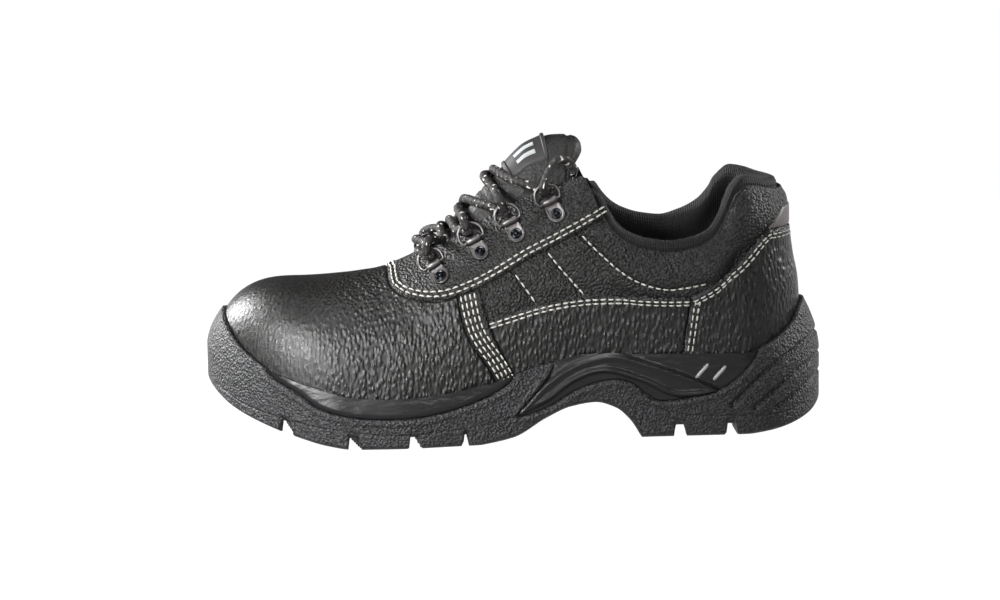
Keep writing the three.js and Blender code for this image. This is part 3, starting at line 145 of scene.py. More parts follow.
# Side outlines in millimetres: x along the shoe, z up
ARCH = [(-25.7, -1), (-3.4, 2.9), (13, 11.8), (25, 16.7), (37.1, 18.3), (47.1, 15.2), (54.4, 8.7), (60.4, -1)]
FOREFOOT_LIP = [
    (-123.8, 40.3), (-120.8, 34.7), (-107.2, 26.7), (-96.6, 19.8), (-80, 15.5), (-60.4, 14.4), (-42.3, 15.8),
    (-24.2, 20.2), (-9.1, 26.7), (-1.5, 34.1), (-3, 46.5), (-120.8, 46.5),
]
WAIST_PANEL = [
    (18.1, 49.6), (16.6, 36.3), (9.1, 26), (-1.5, 13.3), (13.6, 16.7), (27.2, 24.2), (42.3, 28.8),
    (54.4, 27.3), (67.9, 18), (86, 19.4), (98.2, 22.5), (107.5, 28.2), (114.5, 35.5), (119, 44), (120, 49.6),
]
WAVE = [
    (0, 15.2), (12.1, 27.9), (27.2, 37.2), (45.3, 41.0), (60.9, 37.2), (79.8, 30.4), (96.5, 22.6),
    (77, 20.4), (60.9, 27.6), (42.3, 33.2), (27.2, 29.5), (13.6, 20.5),
]
SLASHES = [(89.6, 32.2), (98.2, 31.0)]
HEEL_GROOVES = [
    [(104.2, 14.9), (123.2, 32.2), (145, 43.4), (151, 46)],
    [(115.7, 13.6), (132.9, 27.3), (149.5, 34.7), (151, 35.5)],
    [(125.9, 12.4), (141.3, 21.7), (151, 26)],
]
PARTING = [
    (-146, 27), (-135, 20.5), (-122, 16.6), (-108, 13.3), (-77, 8.3), (-56, 6.9), (-29.5, 8.7), (-18, 10.2),
    (-1.2, 13.2),
]
HEEL_PARTING = [(70, 13.2), (85, 10.4), (110, 9.6), (135, 11), (151, 20)]
TREAD_GROOVES = table(
    "at turn", [(0.87, -0.2), (0.765, -0.2), (0.67, -0.1), (0.585, 0.08), (0.24, 0.12), (0.155, 0.0)]
)
TREAD_CHANNELS = [(0.585, 0.9, 0.3), (0.585, 0.9, -0.3), (0.1, 0.31, 0.25), (0.1, 0.31, -0.25)]

# Seams of the upper in side view, in millimetres
FACING_SEAM = [
    (-62.0, 91), (-61.7, 76.9), (-58.9, 73.2), (-52.8, 70.4), (-43, 69.1), (-33, 70.2), (-21, 74.4),
    (-8.5, 80.5), (6.5, 89.1), (21.5, 96.4), (36.5, 104.3), (46, 109.8),
]
STRAP_FRONT = [(-30.4, 80.5), (-25.5, 54.9), (-14.5, 36.6), (-9.5, 27)]
STRAP_BACK = [(-19.4, 78.1), (-13.7, 56.1), (-5, 36.6), (-0.5, 27)]
SIDE_PANEL_TOP = [
    (-14.5, 59.8), (-3.9, 62.7), (11.1, 66.7), (28.7, 69.3), (46, 69.8), (65.8, 68.8), (84.8, 68.3),
]
COUNTER_FRONT = [(77.5, 19.5), (84.8, 68.3)]
COUNTER_TOP = [
    (84.8, 68.3), (93.2, 72.7), (100.7, 78), (108.2, 84.5), (115.8, 92.8), (121, 98.1), (126.6, 99.4),
    (155, 97.6),
]
HEEL_TAB = [(123.1, 100.3), (130.3, 109.8), (155, 109.8), (155, 98.6), (127.2, 100.3)]
QUILTING = [
    [(-3.2, 84.5), (2, 77.5), (8.9, 67.3)],
    [(13.2, 94), (21.5, 83.5), (32.9, 70.3)],
    [(30, 101.8), (38.9, 91.9), (50.8, 81.4), (61.8, 75.2), (72.7, 72.5), (81, 73), (92.9, 75)],
]

# The tongue's ridge, half width as a share of half the throat's, and how far its sides come down
TONGUE = table(
    "x z half drop",
    [
        (-70, 70.5, 0.62, 4.9), (-58, 75.5, 0.6, 7.3), (-46, 83.5, 0.5, 9.8), (-38.5, 91.5, 0.53, 13.4),
        (-33.6, 97, 0.56, 17.1), (-29.6, 100.9, 0.6, 19.5), (-24.9, 105.2, 0.64, 22.6),
        (-20.5, 111.5, 0.67, 25.6), (-17, 117.2, 0.69, 28.7), (-11.7, 122.3, 0.71, 30.5),
        (-7.2, 127, 0.73, 32.3), (-3, 131.4, 0.75, 33.6), (1, 135.6, 0.77, 34.8), (6, 139.9, 0.79, 36),
        (11.7, 142.6, 0.81, 37.2), (15.6, 144.1, 0.82, 37.2), (20, 144.9, 0.83, 36.6), (25, 145, 0.83, 35.4),
        (31, 144, 0.8, 32.9), (34.6, 141.4, 0.75, 29.3), (35.6, 138.6, 0.7, 25.6),
    ],
)
TONGUE_THICKNESS = 7.0
BADGE_FROM, BADGE_TO = -4.7, 16.0
RIVETS = [(-36.3, 80.0), (-17.0, 91.4), (0.5, 100.0), (20.0, 109.5)]


def monotone(x, y):
    """A curve through points made of cubic pieces that never overshoot, as a function of arrays."""
    x, y = np.asarray(x, float), np.asarray(y, float)
    slope = np.diff(y) / np.diff(x)
    tangent = np.concatenate([slope[:1], np.zeros(len(slope) - 1), slope[-1:]])
    product, total = slope[:-1] * slope[1:], slope[:-1] + slope[1:]
    rising = product > 0
    tangent[1:-1][rising] = 2 * product[rising] / total[rising]

    def at(values):
        t = np.clip(values, x[0], x[-1])
        i = np.clip(np.searchsorted(x, t, side="right") - 1, 0, len(x) - 2)
        width = x[i + 1] - x[i]
        u = (t - x[i]) / width
        blend = u * u * (3 - 2 * u)
        left = u * (1 - u) ** 2 * width * tangent[i]
        right = -u * u * (1 - u) * width * tangent[i + 1]
        return y[i] * (1 - blend) + y[i + 1] * blend + left + right

    return at


def columns(source):
    """Each column of a table as a smooth function of its first column."""
    names = list(source)
    return {name: monotone(source[names[0]], source[name]) for name in names[1:]}


last, back_line, top_line = columns(LAST), columns(BACK_LINE), columns(TOP_LINE)
throat_line, sole_outline, sole_profile = columns(THROAT_LINE), columns(SOLE_OUTLINE), columns(SOLE_PROFILE)
wall_section = columns(WALL_SECTION)
tongue_of = {name: monotone(-TONGUE["x"][::-1], TONGUE[name][::-1]) for name in ("z", "half", "drop")}


def smoothstep(value, low, high):
    """0 below low, 1 above high, and the cubic 3t^2 - 2t^3 between."""
    t = np.clip((value - low) / (high - low), 0, 1)
    return t * t * (3 - 2 * t)


def plan_rounding(share):
    """Factor on the half width: a circle at the heel and a blunt curve at the toe."""
    heel = np.clip(1 - share / HEEL_ROUND, 0, 1)
    toe = np.clip((share - TOE_ROUND_FROM) / TOE_ROUND, 0, 1)
    return np.sqrt(1 - heel**2) * (1 - toe**2.3) ** (1 / 2.1)


def bottom_of(share):
    """Height of the feather line, where the upper meets the sole."""
    return last["bottom"](share) * SEAT_HEIGHT


def ridge_of(share):
    """Height of the ridge: the table's, and a dome down to the bottom over the last 14% at the toe."""
    toe = np.clip((share - TOE_DOME_FROM) / TOE_DOME, 0, 1)
    low = bottom_of(share)
    return low + (last["ridge"](share) * UPPER_HEIGHT - low) * (1 - toe**3) ** (1 / 2.6)


def half_of(share, side):
    """Half width of the upper at the feather line: the table's, rounded off at heel and toe."""
    return last[SIDE_NAME[side]](share) * HALF_UPPER * plan_rounding(share)


def spine_of(share):
    """Sideways shift of the ridge, towards the inner side at the toe."""
    return last["spine"](share) * HALF_UPPER


def last_x(share):
    """Where a share of the upper's length lies along the shoe, from the back."""
    return UPPER_BACK - share * UPPER_LENGTH


def lean_of(share, height):
    """How far the back leans forward at a height, fading as a square towards the quarter."""
    fade = np.clip(1 - share / LEAN_REACH, 0, 1) ** 2
    return back_line["lean"](height / UPPER_HEIGHT) * HEEL_LEAN * fade


def opening_of(share):
    """Half the throat's opening, closing in a round front."""
    near = np.clip((share - THROAT_FRONT + THROAT_ROUND) / THROAT_ROUND, 0, 1)
    return throat_line["open"](share) * HALF_THROAT * np.sqrt(1 - near**2)


def edge_of(share, side):
    """Height of the leather's top edge: the collar's line, the throat's edge, or the closed ridge."""
    low, high = bottom_of(share), ridge_of(share)
    narrow = np.clip(opening_of(share) / np.maximum(half_of(share, side), 1e-6), 0, 1)
    throat = low + (high - low) * (1 - narrow ** last["side"](share)) ** (1 / last["shoulder"](share))
    collar = top_line[SIDE_NAME[side]](share) * UPPER_HEIGHT
    return np.where(share >= THROAT_FRONT, high, np.where(share <= THROAT_CORNER, collar, throat))


def half_breadth(share, side, height):
    """Half breadth at a height: w (1 - rise^n)^(1/m), and the padded collar's swell."""
    low, high = bottom_of(share), ridge_of(share)
    rise = np.clip((height - low) / np.maximum(high - low, 1e-6), 0, 1)
    plain = half_of(share, side) * (1 - rise ** last["shoulder"](share)) ** (1 / last["side"](share))
    below = np.clip((edge_of(share, side) - height) / COLLAR_PUFF_REACH, 0, 1)
    padded = np.where(share < THROAT_CORNER, np.sin(np.pi * below) ** 2, 0)
    settle = np.clip((THROAT_CORNER - share) / COLLAR_PUFF_FADE, 0, 1)
    return plain + COLLAR_PUFF * padded * settle * plan_rounding(share)


def share_at(x, height):
    """The station of the upper that holds a point at x and a height.

    The lean depends on the station, so the two are worked out in turn until they settle.
    """
    rounds, beyond = 8, 0.05
    share = np.clip((UPPER_BACK - x) / UPPER_LENGTH, -beyond, 1 + beyond)
    for _ in range(rounds):
        lean = lean_of(np.clip(share, 0, 1), height)
        share = np.clip((UPPER_BACK - lean - x) / UPPER_LENGTH, -beyond, 1 + beyond)
    return share


def section_points(shares, side, ups, dense=96):
    """Points of the sections at shares of their own length, from the feather line (0) to the edge (1)."""
    low, high, edge = bottom_of(shares), ridge_of(shares), edge_of(shares, side)
    top = np.clip((edge - low) / np.maximum(high - low, 1e-6), 0, 1)
    power = last["shoulder"](shares)
    angle = np.arcsin(top ** (power / 2))[:, None] * np.linspace(0, 1, dense + 1)[None, :]
    column = shares[:, None]
    height = low[:, None] + (high - low)[:, None] * np.sin(angle) ** (2 / power[:, None])
    breadth = half_breadth(column, side, height)
    breadth[shares >= THROAT_FRONT, -1] = 0
    x = last_x(column) - lean_of(column, height)
    points = np.stack([x, spine_of(column) + side * breadth, height], axis=-1)
    steps = np.linalg.norm(np.diff(points, axis=1), axis=-1)
    along = np.concatenate([np.zeros((len(shares), 1)), np.cumsum(steps, axis=1)], axis=1)
    target = ups[None, :] * along[:, -1:]
    below = np.clip((along[:, :, None] <= target[:, None, :]).sum(axis=1) - 1, 0, dense - 1)
    rows = np.arange(len(shares))[:, None]
    span = np.maximum(along[rows, below + 1] - along[rows, below], 1e-9)
    t = np.clip((target - along[rows, below]) / span, 0, 1)[..., None]
    return points[rows, below] * (1 - t) + points[rows, below + 1] * t


def surface_normals(points, side, closed_ridge):
    """Outward normals of a grid from differences along both of its directions.

    They are level along the back's middle and along the closed ridge, where both sides meet.
    """
    along = np.gradient(points, axis=0)
    upward = np.gradient(points, axis=1)
    normal = np.cross(upward, along) * -side
    normal[0, :, 1] = 0
    normal[closed_ridge, -1, 1] = 0
    length = np.linalg.norm(normal, axis=-1, keepdims=True)
    return normal / np.maximum(length, 1e-12)


def eased(low, high, count, kind):
    """Stations between two shares, even or drawn together at the start or the end."""
    t = np.linspace(0, 1, count + 1)[1:]
    shaped = {"none": t, "start": 1 - np.cos(t * np.pi / 2), "end": np.sin(t * np.pi / 2)}[kind]
    return low + (high - low) * shaped


# Stretches of the upper from heel to toe: where each ends, its stations and how they are spaced
UPPER_STRETCHES = [
    (HEEL_ROUND, 46, "start"), (0.175, 17, "none"), (0.31, 40, "none"), (THROAT_CORNER, 22, "none"),
    (THROAT_FRONT - THROAT_ROUND, 72, "none"), (THROAT_FRONT, 12, "none"), (0.85, 60, "none"),
    (0.9995, 60, "end"),
]
UPPER_ROWS = 104
LEATHER_DENSITY, LINING_DENSITY = 1.35, 0.6


@functools.lru_cache(maxsize=None)
def upper_grid(density):
    """The upper's outer surface: stations by rows for each side, with unit normals.

    Each point is the superellipse section's point at an even share of its length.
    """
    shares, start = [np.zeros(1)], 0.0
    for end, count, kind in UPPER_STRETCHES:
        shares.append(eased(start, end, round(count * density), kind))
        start = end
    shares = np.concatenate(shares)
    ups = np.linspace(0, 1, round(UPPER_ROWS * density) + 1)
    grid = {}
    for side in SIDES:
        points = section_points(shares, side, ups)
        grid[side] = (points, surface_normals(points, side, shares >= THROAT_FRONT))
    return grid


def spline(points, count, closed=False):
    """A Catmull-Rom curve through points, sampled evenly by length: a cubic between each two neighbours."""
    per_chord = 24
    p = np.asarray(points, float)
    ends = [p[-1:], p, p[:2]] if closed else [2 * p[:1] - p[1:2], p, 2 * p[-1:] - p[-2:-1]]
    q = np.concatenate(ends)
    pieces = len(q) - 3
    t = np.linspace(0, 1, per_chord + 1)[:-1][None, :, None]
    a, b, c, d = (q[i : i + pieces][:, None, :] for i in range(4))
    curve = 0.5 * (2 * b + (c - a) * t + (2 * a - 5 * b + 4 * c - d) * t**2 + (3 * b - a - 3 * c + d) * t**3)
    return resample(np.concatenate([curve.reshape(-1, p.shape[1]), q[-2:-1]]), count)


def lengths_along(line):
    """The length of a polyline from its start to each of its points."""
    return np.concatenate([[0], np.cumsum(np.linalg.norm(np.diff(line, axis=0), axis=1))])


def resample(line, count):
    """A polyline's points at even steps of its length."""
    along = lengths_along(line)
    target = np.linspace(0, along[-1], count)
    return np.stack([np.interp(target, along, line[:, k]) for k in range(line.shape[1])], axis=1)


def length_of(line):
    """A polyline's whole length."""
    return float(np.linalg.norm(np.diff(line, axis=0), axis=1).sum())


FAR_OFF = 1e3


def on_upper(line, side):
    """A side-view line laid on the upper's surface: the breadth is worked out at each point's height."""
    x, z = line[:, 0], line[:, 1]
    share = np.clip(share_at(x, z), 0, 1)
    z = np.minimum(z, ridge_of(share))
    return np.stack([x, spine_of(share) + side * half_breadth(share, side, z), z], axis=1)


def upper_normal(points, side):
    """Outward normals of the upper at points on it, from the surface's own differences."""
    step = 0.4
    x, z = points[:, 0], points[:, 2]

    def breadth(dx, dz):
        share = np.clip(share_at(x + dx, z + dz), 0, 1)
        return side * spine_of(share) + half_breadth(share, side, z + dz)

    gx = (breadth(step, 0) - breadth(-step, 0)) / (2 * step)
    gz = (breadth(0, step) - breadth(0, -step)) / (2 * step)
    normal = np.stack([-gx, side * np.ones_like(gx), -gz], axis=1)
    return normal / np.linalg.norm(normal, axis=1, keepdims=True)


def nearest(points, line, far=6.0):
    """Distance from points to a line of points, exact within far and FAR_OFF beyond it.

    A coarse copy of the line finds the points near it, which are then measured in blocks.
    """
    coarse_count, block = 60, 4000
    found = np.full(len(points), FAR_OFF)
    coarse = line[:: max(1, len(line) // coarse_count)]
    spacing = length_of(line) / max(1, len(coarse) - 1) if len(coarse) > 1 else 1.0
    rough = np.full(len(points), FAR_OFF**3)
    for p in coarse:
        rough = np.minimum(rough, ((points - p) ** 2).sum(axis=1))
    close = np.nonzero(rough < (far + spacing) ** 2)[0]
    for start in range(0, len(close), block):
        some = close[start : start + block]
        gap = points[some][:, None, :] - line[None, :, :]
        found[some] = np.sqrt((gap**2).sum(axis=-1).min(axis=1))
    return found


def inside(points, polygon):
    """Whether side-view points lie in a polygon: a ray along x crosses its edges an odd number of times."""
    x, z = points[:, 0], points[:, 1]
    hit = np.zeros(len(points), bool)
    corners = np.asarray(polygon, float)
    for (ax, az), (bx, bz) in zip(corners, np.roll(corners, -1, axis=0)):
        crosses = (az > z) != (bz > z)
        hit ^= crosses & (x < (bx - ax) * (z - az) / (bz - az + 1e-12) + ax)
    return hit


def signed(points, polygon, seams):
    """Distance to the nearest seam, positive inside the side-view polygon."""
    distance = np.full(len(points), FAR_OFF)
    for seam in seams:
        distance = np.minimum(distance, nearest(points, seam))
    return np.where(inside(points[:, [0, 2]], polygon), distance, -distance)


def linear(colour):
    """An sRGB hex value as linear red, green, blue and alpha."""
    channels = np.array([int(colour[i : i + 2], 16) for i in (1, 3, 5)]) / 255
    values = np.where(channels <= 0.04045, channels / 12.92, ((channels + 0.055) / 1.055) ** 2.4)
    return (*map(float, values), 1.0)


def make_mesh(name, points, faces, material, uv=None, smooth=True):
    """A mesh object in metres from points in millimetres, with points that coincide merged.

    A quad with two corners merged becomes a triangle, and one with fewer corners left is dropped.
    """
    points = np.asarray(points, float).reshape(-1, 3)
    faces = np.asarray(faces, int)
    keys = np.round(points, 4)
    _, first, inverse = np.unique(keys, axis=0, return_index=True, return_inverse=True)
    merged = inverse.reshape(-1)[faces]
    corners = merged.shape[1]
    sound = np.ones(len(merged), bool)
    for i in range(corners):
        sound &= merged[:, i] != merged[:, (i + 1) % corners]
    collapsed = []
    if corners == 4:
        for row in merged[~sound]:
            kept = [v for k, v in enumerate(row) if v != row[k - 1]]
            if len(set(kept)) == 3:
                collapsed.append(kept)
    source = np.nonzero(sound)[0]
    mesh = bpy.data.meshes.new(name)
    mesh.from_pydata((points[first] * MM).tolist(), [], merged[sound].tolist() + collapsed)
    if uv is not None:
        layer = mesh.uv_layers.new(name="UVMap")
        values = np.zeros((len(mesh.loops), 2))
        flat = np.asarray(uv, float).reshape(-1, 2)[faces[source]].reshape(-1, 2)
        values[: len(flat)] = flat
        layer.data.foreach_set("uv", values.ravel())
    mesh.update()
    mesh.validate()
    if smooth:
        mesh.shade_smooth()
    mesh.materials.append(material)
    thing = bpy.data.objects.new(name, mesh)
    bpy.context.collection.objects.link(thing)
    return thing


def grid_faces(rows, cols, flip=False, wrap=False):
    """Quads of a grid of points stored row by row."""
    i, j = np.meshgrid(np.arange(rows - 1), np.arange(cols if wrap else cols - 1), indexing="ij")
    right = (j + 1) % cols
    quads = np.stack([i * cols + j, (i + 1) * cols + j, (i + 1) * cols + right, i * cols + right], axis=-1)
    quads = quads.reshape(-1, 4)
    return quads[:, ::-1] if flip else quads


class Pile:
    """Collects grids of points and single faces that end up in one mesh."""

    def __init__(self):
        self.points, self.faces, self.uvs, self.count = [], [], [], 0

    def add(self, points, faces, uv=None):
        """Adds points and the faces between them."""
        flat = np.asarray(points, float).reshape(-1, 3)
        self.points.append(flat)
        self.faces.append(np.asarray(faces, int) + self.count)
        self.uvs.append(np.zeros((len(flat), 2)) if uv is None else np.asarray(uv, float).reshape(-1, 2))
        self.count += len(flat)

    def grid(self, points, flip=False, wrap=False, uv=None):
        """Adds rows of points with quads between them."""
        rows, cols = points.shape[:2]
        self.add(points, grid_faces(rows, cols, flip, wrap), uv)

    def mesh(self, name, material):
        """Makes one mesh object of all that was added."""
        points, faces, uvs = (np.concatenate(parts) for parts in (self.points, self.faces, self.uvs))
        return make_mesh(name, points, faces, material, uvs)


def settle(piece, slot, *nodes):
    """Makes a finished piece ride on the shoe and stand for CAD nodes, which it hides; the slot is not used.
    """
    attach(piece, ROOT)
    if nodes:
        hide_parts(*nodes)
    return piece


def frames_along(line):
    """Two unit axes across a line at each point, turned as little as possible from point to point."""
    tangent = np.gradient(line, axis=0)
    tangent /= np.linalg.norm(tangent, axis=1, keepdims=True)
    up = np.array([0.0, 0.0, 1.0]) if abs(tangent[0, 2]) < 0.9 else np.array([1.0, 0.0, 0.0])
    axis = np.cross(tangent[0], up)
    first = [axis / np.linalg.norm(axis)]
    for t in tangent[1:]:
        axis = first[-1] - t * first[-1].dot(t)
        first.append(axis / np.linalg.norm(axis))
    first = np.array(first)
    return first, np.cross(tangent, first)


def tube(pile, line, radius, sides, closed=False):
    """A round tube along a line: each ring is centre + r (cos a * first axis + sin a * second axis).

    An open tube ends in two low cones whose tips stand out by a quarter of its radius.
    """
    line = np.asarray(line, float)
    first, second = frames_along(line)
    angle = np.linspace(0, 2 * np.pi, sides, endpoint=False)[None, :, None]
    radii = np.broadcast_to(np.asarray(radius, float), (len(line),))[:, None, None]
    turned = np.cos(angle) * first[:, None, :] + np.sin(angle) * second[:, None, :]
    rings = line[:, None, :] + radii * turned
    along = lengths_along(line)
    uv = np.stack(np.broadcast_arrays(np.linspace(0, 1, sides + 1)[None, :], along[:, None]), axis=-1)
    rings = np.concatenate([rings, rings[:, :1]], axis=1)
    if closed:
        rings = np.concatenate([rings, rings[:1]], axis=0)
        uv = np.concatenate([uv, uv[:1]], axis=0)
    pile.grid(rings, flip=True, uv=uv)
    if not closed:
        for end, neighbour in ((0, 1), (-1, -2)):
            outward = line[end] - line[neighbour]
            tip = line[end] + 0.25 * radii[end, 0, 0] * (outward / np.linalg.norm(outward))
            fan = np.stack([np.broadcast_to(tip, rings[end].shape), rings[end]])
            pile.grid(fan, flip=end == 0)


# Materials


def add_node(tree, kind, inputs=None, **settings):
    """Adds a node with its settings, and sets or links its inputs."""
    made = tree.nodes.new(kind)
    for name, value in settings.items():
        setattr(made, name, value)
    for name, value in (inputs or {}).items():
        if isinstance(value, bpy.types.NodeSocket):
            tree.links.new(value, made.inputs[name])
        else:
            made.inputs[name].default_value = value
    return made


def material(name, colour, roughness, **constants):
    """A material with a Principled shader whose constants stand on its own sockets."""
    made = bpy.data.materials.new(name)
    made.use_nodes = True
    shader = made.node_tree.nodes["Principled BSDF"]
    shader.inputs["Base Color"].default_value = linear(colour)
    shader.inputs["Roughness"].default_value = roughness
    for key, value in constants.items():
        shader.inputs[key.replace("_", " ")].default_value = value
    made.diffuse_color = linear(colour)
    return made, made.node_tree, shader


def stretched(tree, scale):
    """Object coordinates in metres multiplied along each axis."""
    place = add_node(tree, "ShaderNodeTexCoord")
    return add_node(
        tree, "ShaderNodeMapping", {"Vector": place.outputs["Object"], "Scale": scale}, vector_type="POINT"
    ).outputs["Vector"]


def ramp(tree, factor, stops):
    """A colour ramp from pairs of a place and a hex colour or a grey value."""
    made = add_node(tree, "ShaderNodeValToRGB", {"Fac": factor})
    elements = made.color_ramp.elements
    while len(elements) < len(stops):
        elements.new(0.5)
    for element, (place, value) in zip(elements, stops):
        element.position = place
        element.color = linear(value) if isinstance(value, str) else (value, value, value, 1)
    return made.outputs["Color"]


def bump(tree, height, distance, strength=1.0, under=None):
    """A bump of a height in metres, over another normal if one is given."""
    inputs = {"Height": height, "Distance": distance, "Strength": strength}
    if under is not None:
        inputs["Normal"] = under
    return add_node(tree, "ShaderNodeBump", inputs).outputs["Normal"]


@functools.lru_cache(maxsize=None)
def pebbled_leather(name, colour, light, cell, depth, stretch, rough, smooth_to=None):
    """Corrected-grain leather, embossed with pebbles and finished with a resin coat.

    Its pebbles catch small soft lights and the creases between them stay dark. The grain is shallower in
    front of smooth_to, where the leather is stretched over the toe cap.
    """
    made, tree, shader = material(name, colour, rough, Specular_IOR_Level=0.18)
    scale = tuple(s / (cell * MM) for s in stretch)
    grain = stretched(tree, scale)
    warp = add_node(tree, "ShaderNodeTexNoise", {"Vector": grain, "Scale": 0.7, "Detail": 2.0})
    bent = add_node(
        tree, "ShaderNodeMix", {"Factor": 0.22, "A": grain, "B": warp.outputs["Color"]}, data_type="VECTOR"
    )
    cells = add_node(
        tree, "ShaderNodeTexVoronoi", {"Vector": bent.outputs["Result"], "Scale": 1.0, "Smoothness": 0.6},
        feature="SMOOTH_F1",
    )
    pebble = add_node(
        tree, "ShaderNodeMapRange",
        {"Value": cells.outputs["Distance"], "From Min": 0.1, "From Max": 0.75, "To Min": 1.0, "To Max": 0.0},
    )
    fine = add_node(tree, "ShaderNodeTexNoise", {"Vector": grain, "Scale": 3.0, "Detail": 4.0})
    slow = add_node(tree, "ShaderNodeTexNoise", {"Vector": stretched(tree, (38, 38, 38)), "Scale": 1.0})
    tone = add_node(
        tree, "ShaderNodeMix",
        {"Factor": slow.outputs[0], "A": linear(colour), "B": linear(light)},
        data_type="RGBA",
    )
    tree.links.new(tone.outputs["Result"], shader.inputs["Base Color"])
    gloss = add_node(
        tree, "ShaderNodeMapRange",
        {"Value": pebble.outputs["Result"], "To Min": min(1.0, rough + 0.16), "To Max": rough - 0.05},
    )
    tree.links.new(gloss.outputs["Result"], shader.inputs["Roughness"])
    low = bump(tree, fine.outputs[0], 0.3 * depth * MM, 0.9)
    strength = 1.0
    if smooth_to is not None:
        fading = 30.0
        along = add_node(tree, "ShaderNodeSeparateXYZ", {"Vector": stretched(tree, (1, 1, 1))})
        strength = add_node(
            tree, "ShaderNodeMapRange",
            {"Value": along.outputs["X"], "From Min": (smooth_to - fading) * MM,
             "From Max": smooth_to * MM, "To Min": 0.22, "To Max": 1.0},
        ).outputs["Result"]
    tree.links.new(bump(tree, pebble.outputs["Result"], depth * MM, strength, low), shader.inputs["Normal"])
    return made


@functools.lru_cache(maxsize=None)
def stippled_rubber(name, colour, cell, depth, rough):
    """Injection-moulded nitrile rubber with a spark-eroded stipple.

    It scatters light in many small dull points; its colour is painted lighter on the grit's tops and darker
    in its pits.
    """
    made, tree, shader = material(name, colour, rough, Specular_IOR_Level=0.18)
    place = stretched(tree, (1 / (cell * MM),) * 3)
    cells = add_node(tree, "ShaderNodeTexVoronoi", {"Vector": place, "Scale": 1.0, "Smoothness": 0.8},
                     feature="SMOOTH_F1")
    grit = add_node(tree, "ShaderNodeTexNoise", {"Vector": place, "Scale": 1.6, "Detail": 4.0,
                                                 "Roughness": 0.6})
    # Painted highlight and shade: the colour is lighter where the grit raises the stipple and darker where it
    # sinks.
    tone = ramp(tree, grit.outputs[0], [(0.36, "#060606"), (0.5, colour), (0.64, "#262628")])
    tree.links.new(tone, shader.inputs["Base Color"])
    low = bump(tree, grit.outputs[0], 0.5 * depth * MM)
    tree.links.new(bump(tree, cells.outputs["Distance"], depth * MM, 1.0, low), shader.inputs["Normal"])
    return made


@functools.lru_cache(maxsize=None)
def smooth_foam(name, colour, rough):
    """Poured polyurethane with the smooth skin of its mould.

    It has broad satin highlights with faint flow marks.
    """
    made, tree, shader = material(name, colour, rough, Specular_IOR_Level=0.18)
    flow = add_node(tree, "ShaderNodeTexNoise", {"Vector": stretched(tree, (110, 110, 260)), "Scale": 1.0,
                                                 "Detail": 5.0})
    tree.links.new(bump(tree, flow.outputs[0], 0.7 * MM, 0.8), shader.inputs["Normal"])
    return made


@functools.lru_cache(maxsize=None)
def ribbed_mesh(name, colour):
    """Warp-knitted spacer mesh: fine ribs run down the roll, with small holes between them.

    UV runs along the collar in u and down it in v, in millimetres. The real knit is about half as coarse
    and wouldn't show.
    """
    rib_pitch, hole_pitch = 1.25, 1.9
    made, tree, shader = material(name, colour, 0.7, Specular_IOR_Level=0.12, Sheen_Weight=0.03)
    uv = add_node(tree, "ShaderNodeUVMap", uv_map="UVMap")
    split = add_node(tree, "ShaderNodeSeparateXYZ", {"Vector": uv.outputs["UV"]})
    ribs = []
    for axis, pitch in (("X", rib_pitch), ("Y", hole_pitch)):
        turn = add_node(tree, "ShaderNodeMath", {0: split.outputs[axis], 1: 2 * math.pi / pitch},
                        operation="MULTIPLY")
        wave = add_node(tree, "ShaderNodeMath", {0: turn.outputs[0]}, operation="SINE")
        ribs.append(wave.outputs[0])
    height = add_node(tree, "ShaderNodeMath", {0: ribs[1], 1: 0.45, 2: ribs[0]}, operation="MULTIPLY_ADD")
    tone = add_node(tree, "ShaderNodeMapRange",
                    {"Value": height.outputs[0], "From Min": -1.3, "From Max": 1.3})
    # Painted shade and highlight: the colour follows the ribs' height, darker in the hollows and holes and
    # lighter on the crests.
    colours = ramp(tree, tone.outputs[0], [(0.15, "#070708"), (0.6, colour), (0.95, "#101012")])
    tree.links.new(colours, shader.inputs["Base Color"])
    tree.links.new(bump(tree, tone.outputs[0], 0.45 * MM), shader.inputs["Normal"])
    return made


@functools.lru_cache(maxsize=None)
def plain_cloth(name, colour, cell, depth, rough):
    """Warp-knitted polyester over foam: small holes, painted dark as shade, between soft dull ribs."""
    made, tree, shader = material(name, colour, rough, Specular_IOR_Level=0.2, Sheen_Weight=0.04)
    place = stretched(tree, (1 / (cell * MM),) * 3)
    holes = add_node(tree, "ShaderNodeTexVoronoi", {"Vector": place, "Scale": 1.0, "Randomness": 0.35})
    # Painted shade: the colour darkens towards the middle of each hole, where the bump sinks deepest.
    tone = ramp(tree, holes.outputs["Distance"], [(0.2, "#060607"), (0.5, colour)])
    tree.links.new(tone, shader.inputs["Base Color"])
    tree.links.new(bump(tree, holes.outputs["Distance"], depth * MM), shader.inputs["Normal"])
    return made


@functools.lru_cache(maxsize=None)
def plain_finish(name, colour, rough, per_metre, depth=0.05, metallic=0.0):
    """A surface of one tone with a faint unevenness that breaks its highlights.

    Its bumps come per_metre times in a metre, about one in a millimetre on the metal, and are as coarse as
    they need to be to show.
    """
    made, tree, shader = material(name, colour, rough, Metallic=metallic,
                                  Specular_IOR_Level=0.5 if metallic else 0.25)
    noise = add_node(tree, "ShaderNodeTexNoise", {"Vector": stretched(tree, (per_metre,) * 3), "Scale": 1.0,
                                                  "Detail": 3.0})
    tree.links.new(bump(tree, noise.outputs[0], depth * MM, 0.6), shader.inputs["Normal"])
    spread = add_node(tree, "ShaderNodeMapRange", {"Value": noise.outputs[0], "To Min": rough * 0.8,
                                                   "To Max": min(1.0, rough * 1.25)})
    tree.links.new(spread.outputs["Result"], shader.inputs["Roughness"])
    return made


